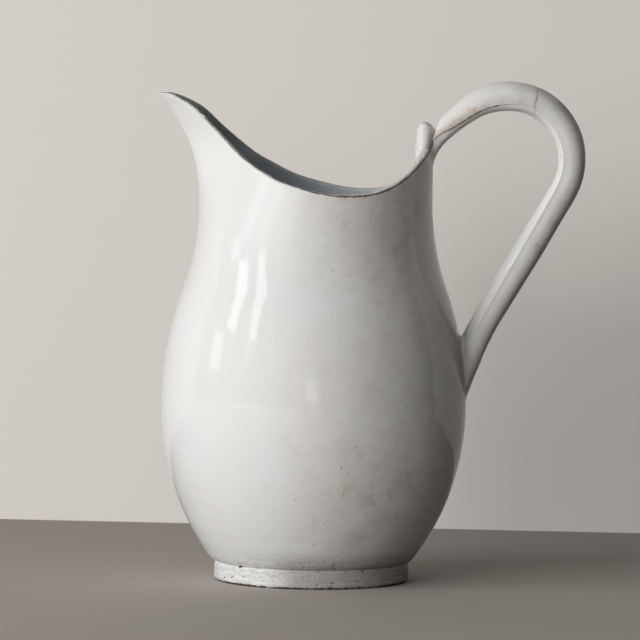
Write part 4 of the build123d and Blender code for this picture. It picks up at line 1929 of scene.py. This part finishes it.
@dataclass(frozen=True)
class PlainSheet:
    """The matt colour of the table or the backdrop, which may be clear from behind.

    What is seen of it, straight or in a glaze, is its colour. The light that it sends back
    softly onto the pitcher is only a share of that, as from a deeper and darker room.
    """

    name: str
    colour: Triple
    one_sided: bool = False
    soft_share: float = 0.32
    glow: float = 0.0
    roughness: float = 0.85

    def build(self) -> bpy.types.Material:
        """Build the material: one flat colour.

        A one-sided sheet is clear from behind, and it casts no shadow.

        Returns:
            The material.
        """
        bench = NodeBench(self.name)
        camera, glossy, passing, shadow = (
            bench.output("ShaderNodeLightPath", f"Is {kind} Ray")
            for kind in ("Camera", "Glossy", "Transmission", "Shadow")
        )
        seen = camera.or_more(glossy).or_more(passing)
        soft = tuple(part * self.soft_share for part in self.colour)
        bench.feed(bench.shader, {
            "Base Color": bench.mixed(seen, soft, self.colour), "Roughness": self.roughness,
            "Emission Color": self.colour, "Emission Strength": seen * self.glow,
        })
        if self.one_sided:
            clear = bench.output("ShaderNodeNewGeometry", "Backfacing").or_more(shadow)
            front = Signal(bench, bench.shader.outputs[0])
            behind = bench.output("ShaderNodeBsdfTransparent", 0)
            mix = bench.output("ShaderNodeMixShader", 0, {0: clear, 1: front, 2: behind})
            bench.feed(bench.tree.nodes["Material Output"], {"Surface": mix})
        return bench.material


# ---------------------------------------------------------------------------------------------
# The studio


@dataclass(frozen=True)
class SoftBox:
    """A flat rectangular lamp that faces the pitcher.

    Its place is told as seen from the pitcher: degrees to the camera's left, degrees over the
    table, and metres away. A lamp that is not mirrored lights the clay but is too diffuse a
    source, such as a curtain, to show as a shape in the glaze.
    """

    name: str
    left: float
    up: float
    distance: float
    width: float
    height: float
    radiance: float
    colour: Triple = (1.0, 1.0, 1.0)
    mirrored: bool = True

    def place(self, target: Vector, toward_camera: float) -> None:
        """Add the lamp to the scene.

        Args:
            target: the point that the lamp faces.
            toward_camera: angle of the camera round the vertical, in degrees.
        """
        lamp = bpy.data.lights.new(self.name, "AREA")
        lamp.shape = "RECTANGLE"
        lamp.size, lamp.size_y = self.width, self.height
        lamp.energy = self.radiance * math.pi * self.width * self.height
        lamp.color = self.colour
        round_about = math.radians(toward_camera - self.left)
        up = math.radians(self.up)
        away = Vector((math.sin(round_about) * math.cos(up),
                       -math.cos(round_about) * math.cos(up), math.sin(up)))
        holder = linked(self.name, lamp)
        holder.location = target + away * self.distance
        holder.rotation_euler = away.to_track_quat("Z", "Y").to_euler()
        holder.visible_camera = False
        holder.visible_glossy = self.mirrored


@dataclass(frozen=True)
class Studio:
    """Table, backdrop, lamps and camera."""

    azimuth: float = 5.2
    distance: float = 2.8
    camera_height: float = 0.310
    aim: Triple = (0.003, 0.0, 0.1433)
    view_width: float = 0.352
    lean: float = 0.75
    wall_distance: float = 0.293
    wall_height: float = 1.6
    wall_right: float = 1.1
    room_half: float = 4.0
    far_clip: float = 50.0
    table_colour: Triple = (0.54, 0.49, 0.45)
    wall_colour: Triple = (0.67, 0.640, 0.598)
    wall_glow: float = 0.16
    room_light: float = 0.015
    lamps: tuple[SoftBox, ...] = (
        SoftBox("window", 51, 11, 2.6, 2.3, 1.0, 6.7, (1.0, 0.998, 0.99), False),
        SoftBox("wall_by_window", 21, 12, 2.6, 1.4, 1.0, 4.0, (1.0, 0.985, 0.96), False),
        SoftBox("tall_pane_left", 72, 27, 3.1, 0.52, 1.05, 3.6, (0.95, 0.98, 1.0)),
        SoftBox("tall_pane_right", 52, 27, 3.1, 0.42, 1.05, 3.4, (0.95, 0.98, 1.0)),
        SoftBox("low_pane_left", 82, 11, 3.1, 0.50, 0.55, 2.2, (0.95, 0.98, 1.0)),
        SoftBox("low_pane_right", 54, 13, 3.1, 0.42, 0.40, 0.8, (0.95, 0.98, 1.0)),
        SoftBox("door_gap", 33, 19, 3.1, 0.10, 1.0, 0.45, (0.97, 0.98, 1.0)),
        SoftBox("room_behind", 178, 22, 2.8, 2.4, 1.2, 1.3, (1.0, 0.98, 0.95), False),
        SoftBox("low_card", 1, 3, 3.3, 0.50, 0.42, 1.7, (1.0, 0.97, 0.90)),
    )

    def sheet(self, name: str, corners: Array, finish: PlainSheet) -> None:
        """Add a flat sheet that belongs to the stage.

        Args:
            name: the sheet's name.
            corners: its four corners, anticlockwise as seen from its front.
            finish: its colour.
        """
        mesh = bpy.data.meshes.new(name)
        mesh.from_pydata(corners.tolist(), [], [(0, 1, 2, 3)])
        mesh.materials.append(finish.build())
        linked(name, mesh)

    def build(self) -> None:
        """Set the table, the wall behind it, the lamps, the room's light and the camera."""
        half, back, top = self.room_half, self.wall_distance, self.wall_height
        table = np.array([(-half, -half, 0), (half, -half, 0), (half, half, 0), (-half, half, 0)])
        left, right = -half, self.wall_right
        wall = np.array([(left, back, 0), (right, back, 0), (right, back, top), (left, back, top)])
        self.sheet("table_top", table, PlainSheet("table_matt", self.table_colour))
        matt = PlainSheet("backdrop_matt", self.wall_colour, one_sided=True, glow=self.wall_glow)
        self.sheet("backdrop", wall, matt)
        for lamp in self.lamps:
            lamp.place(Vector(self.aim), self.azimuth)
        self.room()
        self.camera()
        bpy.context.scene.view_settings.view_transform = "Standard"

    def room(self) -> None:
        """Give the room a dim even light."""
        world = bpy.data.worlds.new("room")
        world.use_nodes = True
        level = self.room_light
        world.node_tree.nodes["Background"].inputs["Color"].default_value = (level, level, level, 1)
        bpy.context.scene.world = world

    def camera(self) -> None:
        """Put the camera to the front, a little to the handle's side, and lean it slightly."""
        lens = bpy.data.cameras.new("camera")
        turn = math.radians(self.azimuth)
        aim = Vector(self.aim)
        level = math.sqrt(self.distance**2 - (self.camera_height - aim.z) ** 2)
        eye = Vector((aim.x + math.sin(turn) * level, -math.cos(turn) * level, self.camera_height))
        lens.lens = lens.sensor_width * self.distance / self.view_width
        lens.clip_end = self.far_clip
        holder = linked("camera", lens)
        look = (eye - aim).to_track_quat("Z", "Y").to_matrix()
        roll = Matrix.Rotation(math.radians(self.lean), 3, "Z")
        holder.rotation_euler = (look @ roll).to_euler()
        holder.location = eye
        bpy.context.scene.camera = holder


def dress(piece: bpy.types.Object, material: bpy.types.Material,
          nodes: tuple[str, ...]) -> None:
    """Give a piece its finish and body, hide the CAD nodes that it stands for, and log it.

    Args:
        piece: the piece.
        material: its finish.
        nodes: the CAD nodes that it stands for.
    """
    piece.data.materials.append(material)
    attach(piece, BODY)
    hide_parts(*nodes)
    log.info("%s: %d faces, for %s", piece.name, len(piece.data.polygons), ", ".join(nodes))


def main() -> None:
    """Build the pitcher's pieces in order, then the studio."""
    logging.basicConfig(level=logging.INFO, format="%(name)s: %(message)s")
    form = VesselForm()
    glaze = Glaze("white_glaze").build()
    foot_glaze = Glaze("foot_glaze", cool=(0.77, 0.775, 0.775), warm=(0.77, 0.75, 0.72)).build()
    slip_glaze = Glaze("slip_glaze", warm=(0.83, 0.81, 0.77)).build()

    for name, piece, nodes in GlazedVessel(form).pieces():
        on_foot = name == "foot_band"
        dress(piece, foot_glaze if on_foot else glaze, nodes)
    handle = LoopedHandle(form, HandleForm(HandleLine(form)))
    dress(handle.strap(), glaze, ("handle_strap",))
    dress(handle.limb(), glaze, ("handle_limb",))
    dress(handle.root_slip(), slip_glaze, ("root_fillet",))
    dress(handle.tail_slip(), slip_glaze, ("tail_fillet",))
    dress(ThumbRest(form).piece(), glaze, ("thumb_rest",))

    Studio().build()


if __name__ == "__main__":
    main()
